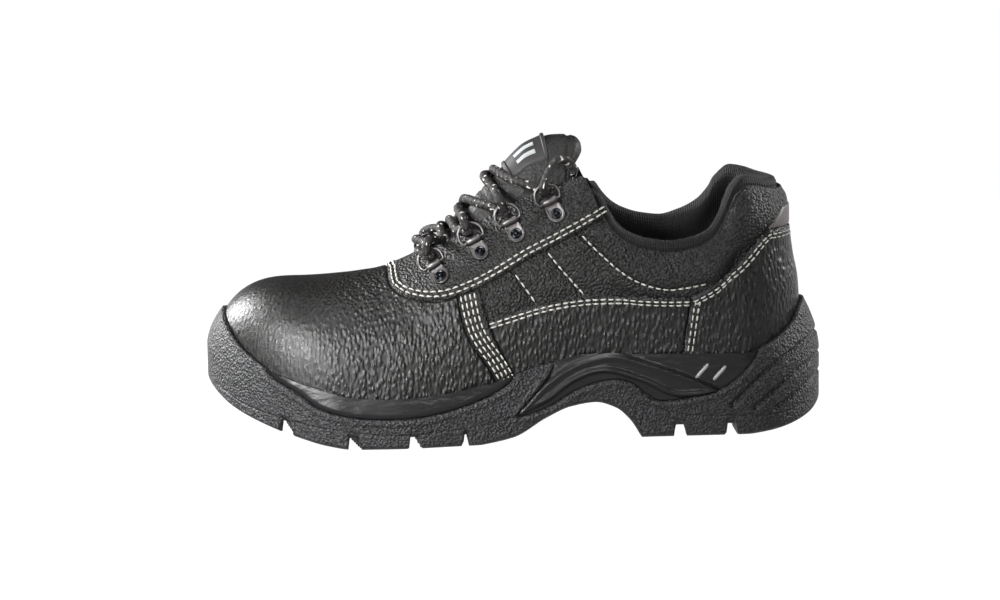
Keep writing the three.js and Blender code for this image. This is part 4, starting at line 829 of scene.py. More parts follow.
@functools.lru_cache(maxsize=None)
def braided_cord(name, colour, fleck):
    """Round braided polyester: two sets of strands cross slantwise, with light tracer yarns.

    UV runs round the cord in u and along it in millimetres in v. The strands are drawn coarser than real
    ones, so that they show.
    """
    strands_round, strands_per_mm = 4.0, 0.62
    made, tree, shader = material(name, colour, 0.7, Specular_IOR_Level=0.2)
    uv = add_node(tree, "ShaderNodeUVMap", uv_map="UVMap")
    split = add_node(tree, "ShaderNodeSeparateXYZ", {"Vector": uv.outputs["UV"]})
    weave = []
    for turn in (1.0, -1.0):
        around = add_node(tree, "ShaderNodeMath", {0: split.outputs["X"], 1: strands_round * turn},
                          operation="MULTIPLY")
        slant = add_node(tree, "ShaderNodeMath",
                         {0: split.outputs["Y"], 1: strands_per_mm, 2: around.outputs[0]},
                         operation="MULTIPLY_ADD")
        wave = add_node(tree, "ShaderNodeMath", {0: slant.outputs[0], 1: 1.0}, operation="PINGPONG")
        weave.append(wave.outputs[0])
    height = add_node(tree, "ShaderNodeMath", {0: weave[0], 1: weave[1]}, operation="MULTIPLY")
    drawn = add_node(tree, "ShaderNodeMapping", {"Vector": uv.outputs["UV"], "Scale": (9.0, 0.2, 1.0)})
    tracer = add_node(tree, "ShaderNodeTexNoise", {"Vector": drawn.outputs["Vector"], "Scale": 1.0,
                                                   "Detail": 1.0})
    # Faint painted highlight and shade: a fifth of the weave's height is added to the tracer yarns' noise, so
    # the strands' tops come out lighter and the gaps between them darker.
    both = add_node(tree, "ShaderNodeMath", {0: height.outputs[0], 1: 0.2, 2: tracer.outputs[0]},
                    operation="MULTIPLY_ADD")
    tone = ramp(tree, both.outputs[0], [(0.36, "#030303"), (0.5, colour), (0.7, colour), (0.75, fleck)])
    tree.links.new(tone, shader.inputs["Base Color"])
    tree.links.new(bump(tree, height.outputs[0], 0.5 * MM), shader.inputs["Normal"])
    return made


# The upper and its panels

# A panel's border dives under the surface, its cut edge rises over EDGE, and it swells behind the edge. It
# keeps its faces up to KEPT_OUTSIDE beyond its seam, and the shell loses its own deeper than HIDDEN_BELOW.
TUCK = 0.6
EDGE = (-0.35, 0.45)
SWELL, SWELL_OVER = 0.12, (0.4, 1.6)
OVERLAP_GAP = 0.3
# How much higher these stand than the other panels, because they overlap them
STRAP_OVER, FACING_OVER, COUNTER_OVER = 0.8, 0.6, 0.2
KEPT_OUTSIDE, HIDDEN_BELOW = 1.1, 4

# The padded quarter: its rise between sewn lines, and the trough of a sewn line
QUARTER_PUFF, QUARTER_REACH, QUARTER_FRONT = 0.9, 8, -5
TROUGH_WIDTH, TROUGH_DEPTH = 1.2, 0.9

# Soft creases in side view: middle, slant, reach in height, width and depth
CREASES = table(
    "x z tilt reach width depth",
    [
        (-52, 60, 0.5, 26, 7.5, 0.35), (-40, 50, 0.65, 22, 6.5, 0.4), (-64, 66, 0.35, 24, 8.0, 0.3),
        (2, 52, -0.5, 30, 9.0, 0.25), (30, 50, -0.2, 26, 10.0, 0.22), (62, 50, 0.25, 20, 10.0, 0.22),
    ],
)


def panel_seams(line):
    """A side-view seam as lines of points half a millimetre apart on the surface of each side."""
    step = 0.5
    fine = spline(line, 1200)
    seams = {}
    for side in SIDES:
        laid = on_upper(fine, side)
        seams[side] = resample(laid, max(8, int(length_of(laid) / step)))
    return seams


def joined(*lines):
    """Lines one after another, as the corners of one outline."""
    return np.concatenate([np.asarray(line, float) for line in lines])


@functools.lru_cache(maxsize=None)
def panel_specs():
    """Each panel's side-view outline and the seams that bound it.

    Where no seam bounds a panel its outline runs far outside the shoe.
    """
    facing = spline(FACING_SEAM, 200)
    front, back = spline(STRAP_FRONT, 60), spline(STRAP_BACK, 60)
    panel_top, counter = spline(SIDE_PANEL_TOP, 100), spline(COUNTER_TOP, 100)
    counter_front = spline(COUNTER_FRONT, 30)
    low, high, before, behind = -20.0, 190.0, -170, 160
    vamp = joined([(before, low), (-2, low)], back[::-1], [(STRAP_BACK[0][0], high), (before, high)])
    side_panel = joined([(-5, low)], back[::-1][:45], panel_top, [(82.5, low)])
    tab_edges = [HEEL_TAB[:2], HEEL_TAB[1:3], HEEL_TAB[3:], HEEL_TAB[4:] + HEEL_TAB[:1]]
    heel = joined(counter_front, counter[1:], [(behind, COUNTER_TOP[-1][1]), (behind, low), (82.5, low)])
    return {
        "facing": (joined(facing, [(46, high), (-62, high)]), [FACING_SEAM]),
        "strap": (joined(front, back[::-1]), [STRAP_FRONT, STRAP_BACK]),
        "vamp": (vamp, [STRAP_BACK]),
        "side_panel": (side_panel, [SIDE_PANEL_TOP, STRAP_BACK]),
        "counter": (heel, [COUNTER_FRONT, COUNTER_TOP]),
        "heel_tab": (np.array(HEEL_TAB), tab_edges),
    }


def depth_in(key, flat):
    """Distance of points from a panel's seams, positive inside the panel."""
    polygon, lines = panel_specs()[key]
    seams = [seam for line in lines for seam in panel_seams(line).values()]
    return signed(flat, polygon, seams)


def creases(points):
    """Soft lows of the worn-in leather: -depth * exp(-(across / half width)^2 - (rise / reach)^2), summed."""
    x, z = points[..., 0], points[..., 2]
    wave = np.zeros(points.shape[:-1])
    for at_x, at_z, tilt, reach, width, depth in zip(*CREASES.values()):
        across = (x - at_x) + tilt * (z - at_z)
        wave -= depth * np.exp(-((across / (width * 0.5)) ** 2) - ((z - at_z) / reach) ** 2)
    return wave


def panel_mesh(name, key, rise, mat, sides=SIDES, cut=()):
    """A panel of leather over the upper: offset h(d) = -tuck + (rise + tuck) s(d) along the normal.

    d is the distance inside the panel's seam and s a smooth step over the thickness of its edge. The panels
    named in cut lie over this one, which ends a little way under them.
    """
    pile = Pile()
    for side in sides:
        points, normal = upper_grid(LEATHER_DENSITY)[side]
        flat = points.reshape(-1, 3)
        d = depth_in(key, flat)
        for other in cut:
            d = np.minimum(d, -depth_in(other, flat) - OVERLAP_GAP)
        d = d.reshape(points.shape[:2])
        lift = -TUCK + (rise + TUCK) * smoothstep(d, *EDGE) + SWELL * smoothstep(d, *SWELL_OVER)
        lift += creases(points) * smoothstep(d, 0, 3)
        lifted = points + normal * lift[..., None]
        faces = grid_faces(*points.shape[:2], flip=side == MEDIAL)
        near = (d.ravel()[faces] > -KEPT_OUTSIDE).any(axis=1)
        pile.add(lifted, faces[near])
    return pile.mesh(name, mat)


def covered(flat):
    """How deep points lie under the panels, from the panels' signed distances."""
    deep = np.full(len(flat), -FAR_OFF)
    for key in ("facing", "strap", "vamp", "side_panel", "counter"):
        deep = np.maximum(deep, depth_in(key, flat))
    return deep


def shell_meshes(mat, lining):
    """The upper's own leather where no panel covers it, and the lining 2 mm inside it.

    Sewn lines sink into the padded quarter in soft troughs of a bell section.
    """
    pile = Pile()
    for side in SIDES:
        points, normal = upper_grid(LEATHER_DENSITY)[side]
        flat = points.reshape(-1, 3)
        deep = covered(flat).reshape(points.shape[:2])
        sewn = [nearest(flat, panel_seams(line)[side], 12.0) for line in QUILTING]
        sewn = np.minimum.reduce(sewn).reshape(deep.shape)
        between = smoothstep(np.minimum(sewn, -deep), 0, QUARTER_REACH)
        puff = QUARTER_PUFF * between * (points[..., 0] > QUARTER_FRONT)
        below_edge = np.linspace(1, 0, points.shape[1])[None, :]
        puff = puff * smoothstep(below_edge, 0.0, 0.06)
        lift = puff - ridge(sewn, TROUGH_WIDTH, TROUGH_DEPTH) + creases(points)
        lifted = points + normal * lift[..., None]
        inner = points - normal * SHELL
        crown = (lifted[:, -1] + inner[:, -1]) / 2 + [0, 0, 0.5]
        rim = np.stack([lifted[:, -1], crown, inner[:, -1]], axis=1)
        faces = grid_faces(*points.shape[:2], flip=side == MEDIAL)
        near = (deep.ravel()[faces] < HIDDEN_BELOW).any(axis=1)
        pile.add(lifted, faces[near])
        pile.grid(rim, flip=side == MEDIAL)
    outer = pile.mesh("upper_leather", mat)
    pile = Pile()
    for side in SIDES:
        points, normal = upper_grid(LINING_DENSITY)[side]
        pile.grid(points - normal * SHELL, flip=side == LATERAL)
    return outer, pile.mesh("upper_lining", lining)


# The sole

# Stations along each side's wall, rows up it and columns across the tread, and the rounding at its edge
WALL_COUNT, WALL_ROWS, TREAD_COLUMNS, TREAD_ROUND = 380, 84, 76, 2.2

# Tread grooves: half width at the bottom and top, depth, and how much deeper they cut into the sole's edge.
# The lengthwise channels have a width, a depth and a share of the length for their ends. Both lie only where
# the plain underside is lower than TREAD_BELOW.
GROOVE_WIDTH, GROOVE_DEPTH = (2.0, 2.9), 4.0
NOTCH_DEPTH, NOTCH_REACH = 3.2, (9, 5)
CHANNEL_WIDTH, CHANNEL_DEPTH, CHANNEL_END = (1.4, 2.6), 3.0, 0.004
TREAD_BELOW = 24

# Relief of the wall: how proud the rubber stands, how far it dives under the smooth panels, the bead beside
# them, its lines, and the foam's wave, lip and crest
RUBBER_PROUD, RUBBER_DIVE, RUBBER_BEAD = 1.2, 3.4, 0.5
HEEL_GROOVE_DEPTH, HEEL_GROOVE_WIDTH = 1.4, (0.9, 1.8)
PARTING_WIDTH, PARTING_DEPTH = 0.45, 0.5
WAVE_PROUD, WAVE_HOLLOW, LIP_PROUD, FOAM_TUCK = 1.5, 0.8, 1.1, 0.8
CREST_WIDTH, CREST_HEIGHT = 1.1, 0.7

# The slanting bars: half length along the shoe, half height, radius and how deep their middle is sunk
BAR_RUN, BAR_RISE, BAR_RADIUS, BAR_SUNK = 3.1, 3.4, 0.95, 0.5


def sole_x(share):
    """Where a share of the sole's length lies along the shoe, from the heel."""
    return SOLE_LENGTH / 2 - share * SOLE_LENGTH


def sole_plan(share, side):
    """The outline in plan: the spine and a half width, rounded at both ends."""
    half = sole_outline[SIDE_NAME[side]](share) * HALF_SOLE * plan_rounding(share)
    return np.stack([sole_x(share), sole_outline["spine"](share) * HALF_SOLE + side * half], axis=-1)


@functools.lru_cache(maxsize=None)
def sole_stations():
    """Shares at which the outline has even steps on the mean of both sides."""
    dense = (1 - np.cos(np.linspace(0, np.pi, 4001))) / 2
    steps = [np.linalg.norm(np.diff(sole_plan(dense, side), axis=0), axis=1) for side in SIDES]
    along = np.concatenate([[0], np.cumsum((steps[0] + steps[1]) / 2)])
    return np.interp(np.linspace(0, along[-1], WALL_COUNT), along, dense)


def plan_normals(points, side):
    """Outward normals of one side of the outline, square to the axis at both tips."""
    run = np.gradient(points, axis=0)
    normal = np.stack([run[:, 1], -run[:, 0]], axis=1) * side
    normal[0], normal[-1] = (1, 0), (-1, 0)
    return normal / np.linalg.norm(normal, axis=1, keepdims=True)


def upper_depth(x, y, z):
    """How far a point lies inside the upper's form, sideways."""
    share = share_at(x, z)
    out = (share < 0) | (share > 1)
    share = np.clip(share, 0, 1)
    across = y - spine_of(share)
    half = np.where(across < 0, half_breadth(share, LATERAL, z), half_breadth(share, MEDIAL, z))
    return np.where(out, -1.0, half - np.abs(across))


def lip_inset(points, normal, height):
    """Distance in from the outline to the wall's lip: that to the upper's surface, less the lip.

    It is found in steps from outside, and then by halving the last step.
    """
    furthest, stride, halvings = 30.0, 0.5, 12
    first = np.full(len(points), furthest)
    for step in np.arange(0, furthest, stride):
        spot = points - normal * step
        hit = (upper_depth(spot[:, 0], spot[:, 1], height) > 0) & (first >= furthest)
        first[hit] = step
    low, high = np.maximum(first - stride, 0), first
    for _ in range(halvings):
        middle = (low + high) / 2
        spot = points - normal * middle[:, None]
        within = upper_depth(spot[:, 0], spot[:, 1], height) > 0
        low, high = np.where(within, low, middle), np.where(within, middle, high)
    return np.maximum(high - LIP, 0)


def under_height(x, y, half):
    """Height of the underside: toe spring and heel bevel, arch, tread grooves, channels and edge notches.

    A groove's depth falls by a smooth step over its sides, and the deepest groove at a point counts.
    """
    share = (SOLE_LENGTH / 2 - x) / SOLE_LENGTH
    base = sole_profile["under"](share) * WALL_TOP
    arch_x, arch_z = np.array(ARCH, float).T
    in_arch = (x > arch_x[0]) & (x < arch_x[-1])
    height = np.where(in_arch, np.maximum(base, monotone(arch_x, arch_z)(x)), base)
    reach = np.abs(y)
    groove = np.zeros_like(height)
    for at, turn in zip(TREAD_GROOVES["at"], TREAD_GROOVES["turn"]):
        middle = sole_x(at) + math.tan(turn) * (half - reach)
        across = 1 - smoothstep(np.abs(x - middle), *GROOVE_WIDTH)
        notch = smoothstep(reach, half - NOTCH_REACH[0], half - NOTCH_REACH[1])
        groove = np.maximum(groove, across * (GROOVE_DEPTH + NOTCH_DEPTH * notch))
    for start, stop, side in TREAD_CHANNELS:
        begun = smoothstep(share, start - CHANNEL_END, start + CHANNEL_END)
        over = smoothstep(share, stop - CHANNEL_END, stop + CHANNEL_END)
        across = 1 - smoothstep(np.abs(y - side * HALF_SOLE), *CHANNEL_WIDTH)
        groove = np.maximum(groove, CHANNEL_DEPTH * begun * (1 - over) * across)
    flat = (base < TREAD_BELOW) & ~in_arch
    return height + np.where(flat, groove, 0)


def ridge(distance, width, height):
    """A soft rounded ridge or groove about a line: height * exp(-(distance / width)^2)."""
    return height * np.exp(-((distance / width) ** 2))


def wall_line(line, arc, side_x):
    """A side-view line on the sole's wall as (distance along the outline, height)."""
    step = 0.6
    fine = spline(line, 400)
    order = np.argsort(side_x)
    along = np.interp(fine[:, 0], side_x[order], arc[order])
    laid = np.stack([along, fine[:, 1]], axis=1)
    return resample(laid, max(6, int(length_of(laid) / step)))


@functools.lru_cache(maxsize=None)
def wall_grid(side):
    """One side of the sole's wall before its relief.

    It gives the stations' shares, the outline in plan, its normals, the distance along it, the wall's lower
    and upper edges and how far its lip lies in from the outline.
    """
    shares = sole_stations()
    plan = sole_plan(shares, side)
    normal = plan_normals(plan, side)
    high = sole_profile["top"](shares) * WALL_TOP
    edge = plan - normal * TREAD_ROUND
    low = under_height(edge[:, 0], edge[:, 1], np.abs(plan[:, 1]))
    return shares, plan, normal, lengths_along(plan), low, high, lip_inset(plan, normal, high)


def wall_heights(shares, low, high):
    """Heights of the wall's rows: even from the plain underside to the lip, squeezed over notches."""
    v = np.linspace(0, 1, WALL_ROWS)[None, :]
    base = np.minimum(sole_profile["under"](shares) * WALL_TOP, low)[:, None]
    return np.maximum(base + (high[:, None] - base) * v, low[:, None] + 1.5 * v)


def wall_shape(side, relief):
    """The wall as a surface: each column rises from the tread's edge and draws in to the lip.

    Its place is outline + normal * (relief - inset * s(v) - r (1 - rise / r)^2), with v the share of the
    wall's height and r the rounding at the tread's edge.
    """
    shares, plan, normal, _, low, high, inset = wall_grid(side)
    base_low = sole_profile["under"](shares) * WALL_TOP
    height = wall_heights(shares, low, high)
    rise = (height - base_low[:, None]) / np.maximum(high - base_low, 1e-6)[:, None]
    inward = wall_section["inward"](rise) * inset[:, None]
    corner = TREAD_ROUND * np.clip(1 - (height - low[:, None]) / TREAD_ROUND, 0, 1) ** 2
    out = relief - inward - corner
    flat = plan[:, None, :] + normal[:, None, :] * out[..., None]
    return np.concatenate([flat, height[..., None]], axis=-1)


@functools.lru_cache(maxsize=None)
def wall_fields(side):
    """Distances on the wall to the sole's panels, positive inside them, and to its lines."""
    shares, plan, _, arc, low, high, _ = wall_grid(side)
    height, x = wall_heights(shares, low, high), plan[:, 0]
    points = np.stack(np.broadcast_arrays(arc[:, None], height), axis=-1).reshape(-1, 2)
    spot = np.stack(np.broadcast_arrays(x[:, None], height), axis=-1).reshape(-1, 2)

    def line(curve):
        return nearest(points, wall_line(curve, arc, x), 8.0).reshape(height.shape)

    def panel(outline, seam):
        within = inside(spot, spline(outline, 300, closed=True)).reshape(height.shape)
        distance = line(seam)
        return np.where(within, distance, -distance)

    return {
        "lip": panel(FOREFOOT_LIP, FOREFOOT_LIP[:11]),
        "waist": panel(WAIST_PANEL, WAIST_PANEL[:13]),
        "wave": panel(WAVE, WAVE + WAVE[:1]),
        "grooves": np.minimum.reduce([line(curve) for curve in HEEL_GROOVES]),
        "parting": np.minimum(line(PARTING), line(HEEL_PARTING)),
        "crest": line(WAVE[:7]),
    }


def outsole_relief(side):
    """Grained rubber that stands proud, with a bead along the smooth panels, and dives under them."""
    f = wall_fields(side)
    smooth_area = np.maximum(f["lip"], f["waist"])
    relief = RUBBER_PROUD - RUBBER_DIVE * smoothstep(smooth_area, -0.1, 0.9)
    relief += RUBBER_BEAD * smoothstep(-smooth_area, 0.2, 1.6) * (1 - smoothstep(-smooth_area, 1.6, 4))
    relief -= HEEL_GROOVE_DEPTH * (1 - smoothstep(f["grooves"], *HEEL_GROOVE_WIDTH)) * (smooth_area < -0.5)
    relief -= ridge(f["parting"], PARTING_WIDTH, PARTING_DEPTH)
    return relief


def midsole_relief(side):
    """Smooth foam with a swelling lip, a raised wave hollowed in its middle, and the wave's sharp crest."""
    f = wall_fields(side)
    relief = WAVE_PROUD * smoothstep(f["wave"], -1.2, 1.0)
    relief += LIP_PROUD * smoothstep(f["lip"], -0.5, 3.2)
    relief += ridge(f["crest"], CREST_WIDTH, CREST_HEIGHT) * (f["waist"] > 0.5)
    relief -= WAVE_HOLLOW * smoothstep(f["wave"], 1.2, 3.2)
    relief -= FOAM_TUCK * smoothstep(np.minimum(-f["waist"], -f["lip"]), -0.8, 0.2)
    return relief


def slash_bars(mat):
    """Two raised slanting bars on each side of the waist: rounded rods sunk to half in the wall."""
    pile = Pile()
    for side in SIDES:
        _, plan, normal, *_ = wall_grid(side)
        order = np.argsort(plan[:, 0])
        outline = np.concatenate([plan, normal], axis=1)[order].T
        for middle_x, middle_z in SLASHES:
            t = np.linspace(-1, 1, 14)
            x = middle_x + BAR_RUN * t
            y, normal_x, normal_y = (np.interp(x, outline[0], column) for column in outline[1:])
            z = middle_z + BAR_RISE * t
            line = np.stack([x - BAR_SUNK * normal_x, y - BAR_SUNK * normal_y, z], axis=1)
            tube(pile, line, BAR_RADIUS * (1 - 0.5 * np.abs(t) ** 6), 14)
    return pile.mesh("sole_slashes", mat)


def sole_meshes(rubber, foam):
    """The outsole with its tread, and the midsole that shows between its parts.

    The outsole's wall folds over its lip and down inside it, and the tread joins the lower edges of both
    sides, with even steps across.
    """
    lip_fold = ((2.4, 0.2), (3.2, -6.0))
    pile = Pile()
    edges, halves = {}, {}
    for side in SIDES:
        wall = wall_shape(side, outsole_relief(side))
        _, plan, normal, *_ = wall_grid(side)
        folds = []
        for inward, up in lip_fold:
            folds.append(wall[:, -1] + np.column_stack([-normal * inward, np.full(len(plan), up)]))
        pile.grid(np.concatenate([wall, np.stack(folds, axis=1)], axis=1), flip=side == MEDIAL)
        edges[side], halves[side] = wall[:, 0], plan[:, None, 1]
    across = np.linspace(0, 1, TREAD_COLUMNS)[None, :, None]
    tread = edges[LATERAL][:, None, :] * (1 - across) + edges[MEDIAL][:, None, :] * across
    half = np.abs(np.where(tread[..., 1] < 0, halves[LATERAL], halves[MEDIAL]))
    tread[:, 1:-1, 2] = under_height(tread[:, 1:-1, 0], tread[:, 1:-1, 1], half[:, 1:-1])
    pile.grid(tread, flip=True)
    outsole = pile.mesh("sole_rubber", rubber)
    pile = Pile()
    for side in SIDES:
        wall = wall_shape(side, midsole_relief(side))
        f = wall_fields(side)
        near = np.maximum(f["lip"], f["waist"]).ravel() > -1.3
        faces = grid_faces(*wall.shape[:2], flip=side == MEDIAL)
        pile.add(wall, faces[near[faces].any(axis=1)])
    midsole = pile.mesh("sole_foam", foam)
    return outsole, midsole


# The collar, the tongue and its badge

# The collar roll's profile: height over the leather's edge in millimetres, and inward as a share of the
# padding's thickness
COLLAR_PROFILE = [
    (-30, 0.06), (-12, 0.05), (-1, 0.0), (2.4, -0.01), (4.3, 0.1), (5.3, 0.32), (4.9, 0.58), (3.0, 0.8),
    (-1, 0.97), (-7, 1.05), (-14, 0.98), (-21, 0.78), (-28, 0.5), (-33, 0.28), (-36, 0.12),
]
# Its thickness and the share of that left at the corners, and the shares of the upper's length over which it
# tapers, stops short of the corner and sinks
COLLAR_PADDING, COLLAR_THIN, COLLAR_TAPER = 10.0, 0.3, 0.09
COLLAR_END, COLLAR_SINK_OVER, COLLAR_SINK = 0.004, 0.02, 3.0
COLLAR_CLEARANCE = 0.5
BINDING_RADIUS, BINDING_AT = 1.15, 6


def collar_mesh(mat):
    """The padded roll inside the collar: a closed profile carried from corner to corner round the heel.

    The profile climbs 5 mm over the leather's edge in a half round, bulges 10 mm inward and thins out 36 mm
    down the inside. Towards the corners it grows thinner and sinks behind the facing.
    """
    profile = spline(COLLAR_PROFILE, 46)
    shares = np.concatenate([[0.0], eased(0.0, THROAT_CORNER - COLLAR_END, 110, "start")])
    rings = {}
    for side in SIDES:
        edge = edge_of(shares, side)
        taper = np.clip((shares[-1] - shares) / COLLAR_TAPER, 0, 1)
        padding = COLLAR_PADDING * (COLLAR_THIN + (1 - COLLAR_THIN) * taper)
        column = shares[:, None]
        z = edge[:, None] + np.minimum(profile[:, 0], 0)[None, :]
        x = last_x(column) - lean_of(column, z)
        rows = np.stack([x, spine_of(column) + side * half_breadth(column, side, z), z], axis=-1)
        run = np.gradient(rows[:, :, :2], axis=0)
        normal = np.stack([run[..., 1], -run[..., 0]], axis=-1) * side
        normal[0, :, 0], normal[0, :, 1] = 1, 0
        normal /= np.linalg.norm(normal, axis=-1, keepdims=True)
        inward = SHELL + COLLAR_CLEARANCE + profile[:, 1][None, :] * padding[:, None]
        rows[..., :2] -= normal * inward[..., None]
        sink = smoothstep(column, shares[-1] - COLLAR_SINK_OVER, shares[-1])
        rows[..., 2] += np.maximum(profile[:, 0], 0) * (1 - sink) - COLLAR_SINK * sink
        rings[side] = rows
    whole = np.concatenate([rings[LATERAL][::-1], rings[MEDIAL][1:]])
    whole = np.concatenate([whole, whole[:, :1]], axis=1)
    pile = Pile()
    around, down = lengths_along(whole[:, 20]), lengths_along(whole[100])
    uv = np.stack(np.broadcast_arrays(around[:, None], down[None, :]), axis=-1)
    pile.grid(whole, flip=True, uv=uv)
    for end, flip in ((0, True), (-1, False)):
        middle = whole[end].mean(axis=0)
        fan = np.stack([np.broadcast_to(middle, whole[end].shape), whole[end]])
        pile.grid(fan, flip=flip)
    return pile.mesh("collar_padding", mat), rings


def collar_binding(rings, mat):
    """The narrow folded binding between the leather's edge and the mesh, as a thin roll along the edge."""
    line = np.concatenate([rings[LATERAL][::-1, BINDING_AT], rings[MEDIAL][1:, BINDING_AT]])
    pile = Pile()
    tube(pile, resample(line, 420), BINDING_RADIUS, 10)
    return pile.mesh("collar_binding", mat)


# The tongue along the shoe, the rounding at both of its ends, its sewn channels (place, width, depth) and
# the crown behind the laces
TONGUE_FROM, TONGUE_TO, TONGUE_ROUND = -70, 30, 5.6
TIP_FROM, TIP_REACH, ROOT_FROM, ROOT_REACH = 29, 6.6, -62, 8
TONGUE_CHANNELS = [(27.5, 0.9, 0.9), (-15.5, 0.7, 0.8)]
BORDER_CHANNEL, BORDER_CHANNEL_FROM = (0.8, 0.05, 0.7), -20
TONGUE_CROWN, CROWN_OVER = 0.5, (-15, 0)
TONGUE_LEAN, TONGUE_NARROWING = 0.55, 0.75
WING_HEIGHT, WING_AT, WING_REACH = 7.5, 2, 8.5


def tongue_point(x, arch, depth):
    """A point of the tongue: across is half * sin, down is drop * (1 - cos), and depth lies under it.

    Its medial border stands up in a soft wing about WING_AT.
    """
    ridge_z = tongue_of["z"](-x)
    step = 1.0
    slope = (tongue_of["z"](-x + step) - tongue_of["z"](-x - step)) / (2 * step)
    run = np.stack([-np.ones_like(x), slope]) / np.sqrt(1 + slope**2)
    angle = arch * np.pi / 2
    half = tongue_of["half"](-x) * HALF_THROAT - depth * TONGUE_NARROWING
    drop = tongue_of["drop"](-x)
    sunk = drop * (1 - np.cos(angle)) + depth * np.cos(angle)
    wing = ridge(x - WING_AT, WING_REACH, WING_HEIGHT) * smoothstep(arch, 0.35, 0.95)
    place = [x - run[1] * sunk * TONGUE_LEAN, half * np.sin(angle), ridge_z + run[0] * sunk + wing]
    return np.stack(place, axis=-1)


def tongue_mesh(mat):
    """The padded tongue: a crowned sheet with sewn channels, whose thickness falls in a round at its borders.

    The rounding is 1 - (1 - |across|^5)^(1/2.2) at the sides and a quarter circle at both ends.
    """
    tip = TONGUE_TO + TONGUE_ROUND * np.sin(np.linspace(0, np.pi / 2, 14)[1:])
    x = np.concatenate([np.linspace(TONGUE_FROM, TONGUE_TO, 100), tip])
    arch = np.sin(np.linspace(-np.pi / 2, np.pi / 2, 47))
    X, A = np.meshgrid(x, arch, indexing="ij")
    rim = 1 - (1 - np.clip(np.abs(A), 0, 1) ** 5) ** (1 / 2.2)
    end = np.clip((X - TIP_FROM) / TIP_REACH, 0, 1)
    front = np.clip((ROOT_FROM - X) / ROOT_REACH, 0, 1)
    close = 1 - np.sqrt(1 - np.maximum(end, front * 0.9) ** 2)
    half = TONGUE_THICKNESS / 2
    thin = np.maximum(rim, close)
    dent = sum(ridge(X - at, width, depth) for at, width, depth in TONGUE_CHANNELS)
    at, width, depth = BORDER_CHANNEL
    dent += ridge(np.abs(A) - at, width, depth) * (X > BORDER_CHANNEL_FROM)
    puff = TONGUE_CROWN * np.cos(A * np.pi / 2) * smoothstep(X, *CROWN_OVER)
    top = tongue_point(X, A, half * thin + dent * (1 - thin) - puff)
    under = tongue_point(X, A, TONGUE_THICKNESS - half * thin)
    pile = Pile()
    pile.grid(top)
    pile.grid(under, flip=True)
    for a, b, flip in ((top[:, 0], under[:, 0], True), (top[:, -1], under[:, -1], False),
                       (top[0], under[0], False), (top[-1], under[-1], True)):
        pile.grid(np.stack([a, b], axis=1), flip=flip)
    return pile.mesh("tongue_padding", mat)


# The badge's patches: from and to along the shoe, from and to across the tongue's arch, lowest and highest
# point over the tongue, and the radius of the border
BADGE_SIDES = (-0.5, 0.62)
BADGE_PLATE = [
    (BADGE_FROM, BADGE_TO, *BADGE_SIDES, -0.6, 1.5, 0.8),
    (BADGE_FROM, BADGE_FROM + 1.9, *BADGE_SIDES, 0.6, 2.3, 0.6),
    (BADGE_TO - 2.1, BADGE_TO, *BADGE_SIDES, 0.6, 2.3, 0.6),
]
BADGE_BARS = [(0.6, 10.4, -0.37, -0.3, 1.0, 1.9, 0.35), (0.6, 10.4, -0.23, -0.15, 1.0, 1.9, 0.35)]
MM_PER_ARCH = 26


def badge_patches(name, patches, mat):
    """Raised patches on the tongue whose borders fall in a quarter round.

    Their height over the tongue is low + (high - low) * sqrt(1 - (1 - t)^2), with t the distance from the
    border over its radius.
    """
    U, V = np.meshgrid(np.linspace(-1, 1, 44), np.linspace(-1, 1, 40), indexing="ij")
    pile = Pile()
    for x0, x1, a0, a1, low, high, radius in patches:
        X = (x0 + x1) / 2 + (x1 - x0) / 2 * U
        A = (a0 + a1) / 2 + (a1 - a0) / 2 * V
        inner = np.minimum((1 - np.abs(U)) * (x1 - x0) / 2, (1 - np.abs(V)) * (a1 - a0) / 2 * MM_PER_ARCH)
        t = np.clip(inner / radius, 0, 1)
        pile.grid(tongue_point(X, A, -(low + (high - low) * np.sqrt(1 - (1 - t) ** 2))))
    return pile.mesh(name, mat)


# Eyelets and laces

# An eyelet in its own axes: x along the facing's edge, y up the facing and z outward. HINGE is the height of
# the ring's bar.
PLATE_WIDTH, PLATE_LENGTH, PLATE_DROP = 8.6, 10.5, 0.6
HINGE = 1.9
RING_WIRE, RING_WIDTH, RING_REACH, RING_TILT = 1.5, 12.4, 10.5, 0.3
HINGE_Y = PLATE_LENGTH / 2 - PLATE_DROP + HINGE - 0.5
FACING_THICKNESS, CLEARANCE = 1.8, 0.3
PANEL_STACK = CLEARANCE + FACING_THICKNESS + CLEARANCE

# The plate's rings as shares of its outline and heights: its foot, the rolled border and the flat face
PLATE_BORDER = [
    (1.0, -0.4), (1.0, 0.45), (0.985, 0.8), (0.94, 0.98), (0.88, 0.95), (0.82, 0.7), (0.76, 0.6), (0.3, 0.6),
    (0.0, 0.6),
]

# The rivet's turned profile: radius and height
RIVET_PROFILE = [
    (2.75, 0.5), (2.8, 0.75), (2.55, 1.0), (2.2, 0.8), (1.75, 0.62), (1.4, 0.8), (1.15, 1.4), (0.8, 1.75),
    (0.4, 1.92), (0.0, 1.95),
]


def eyelet_frame(index, side):
    """Seat and axes of one eyelet: outward, up the facing and along its edge."""
    line = np.array(RIVETS)
    at = on_upper(line, side)
    outward = upper_normal(at, side)[index]
    edge = at[min(index + 1, len(at) - 1)] - at[max(index - 1, 0)]
    upward = np.cross(edge, outward) * side
    upward *= math.copysign(1, upward[2]) / np.linalg.norm(upward)
    sideways = np.cross(upward, outward)
    return at[index] + outward * PANEL_STACK, outward, upward, sideways


def placed(points, frame_of):
    """Points from an eyelet's own axes set on the shoe: seat + x sideways + y upward + z outward."""
    seat, outward, upward, sideways = frame_of
    return seat + points[..., :1] * sideways + points[..., 1:2] * upward + points[..., 2:] * outward


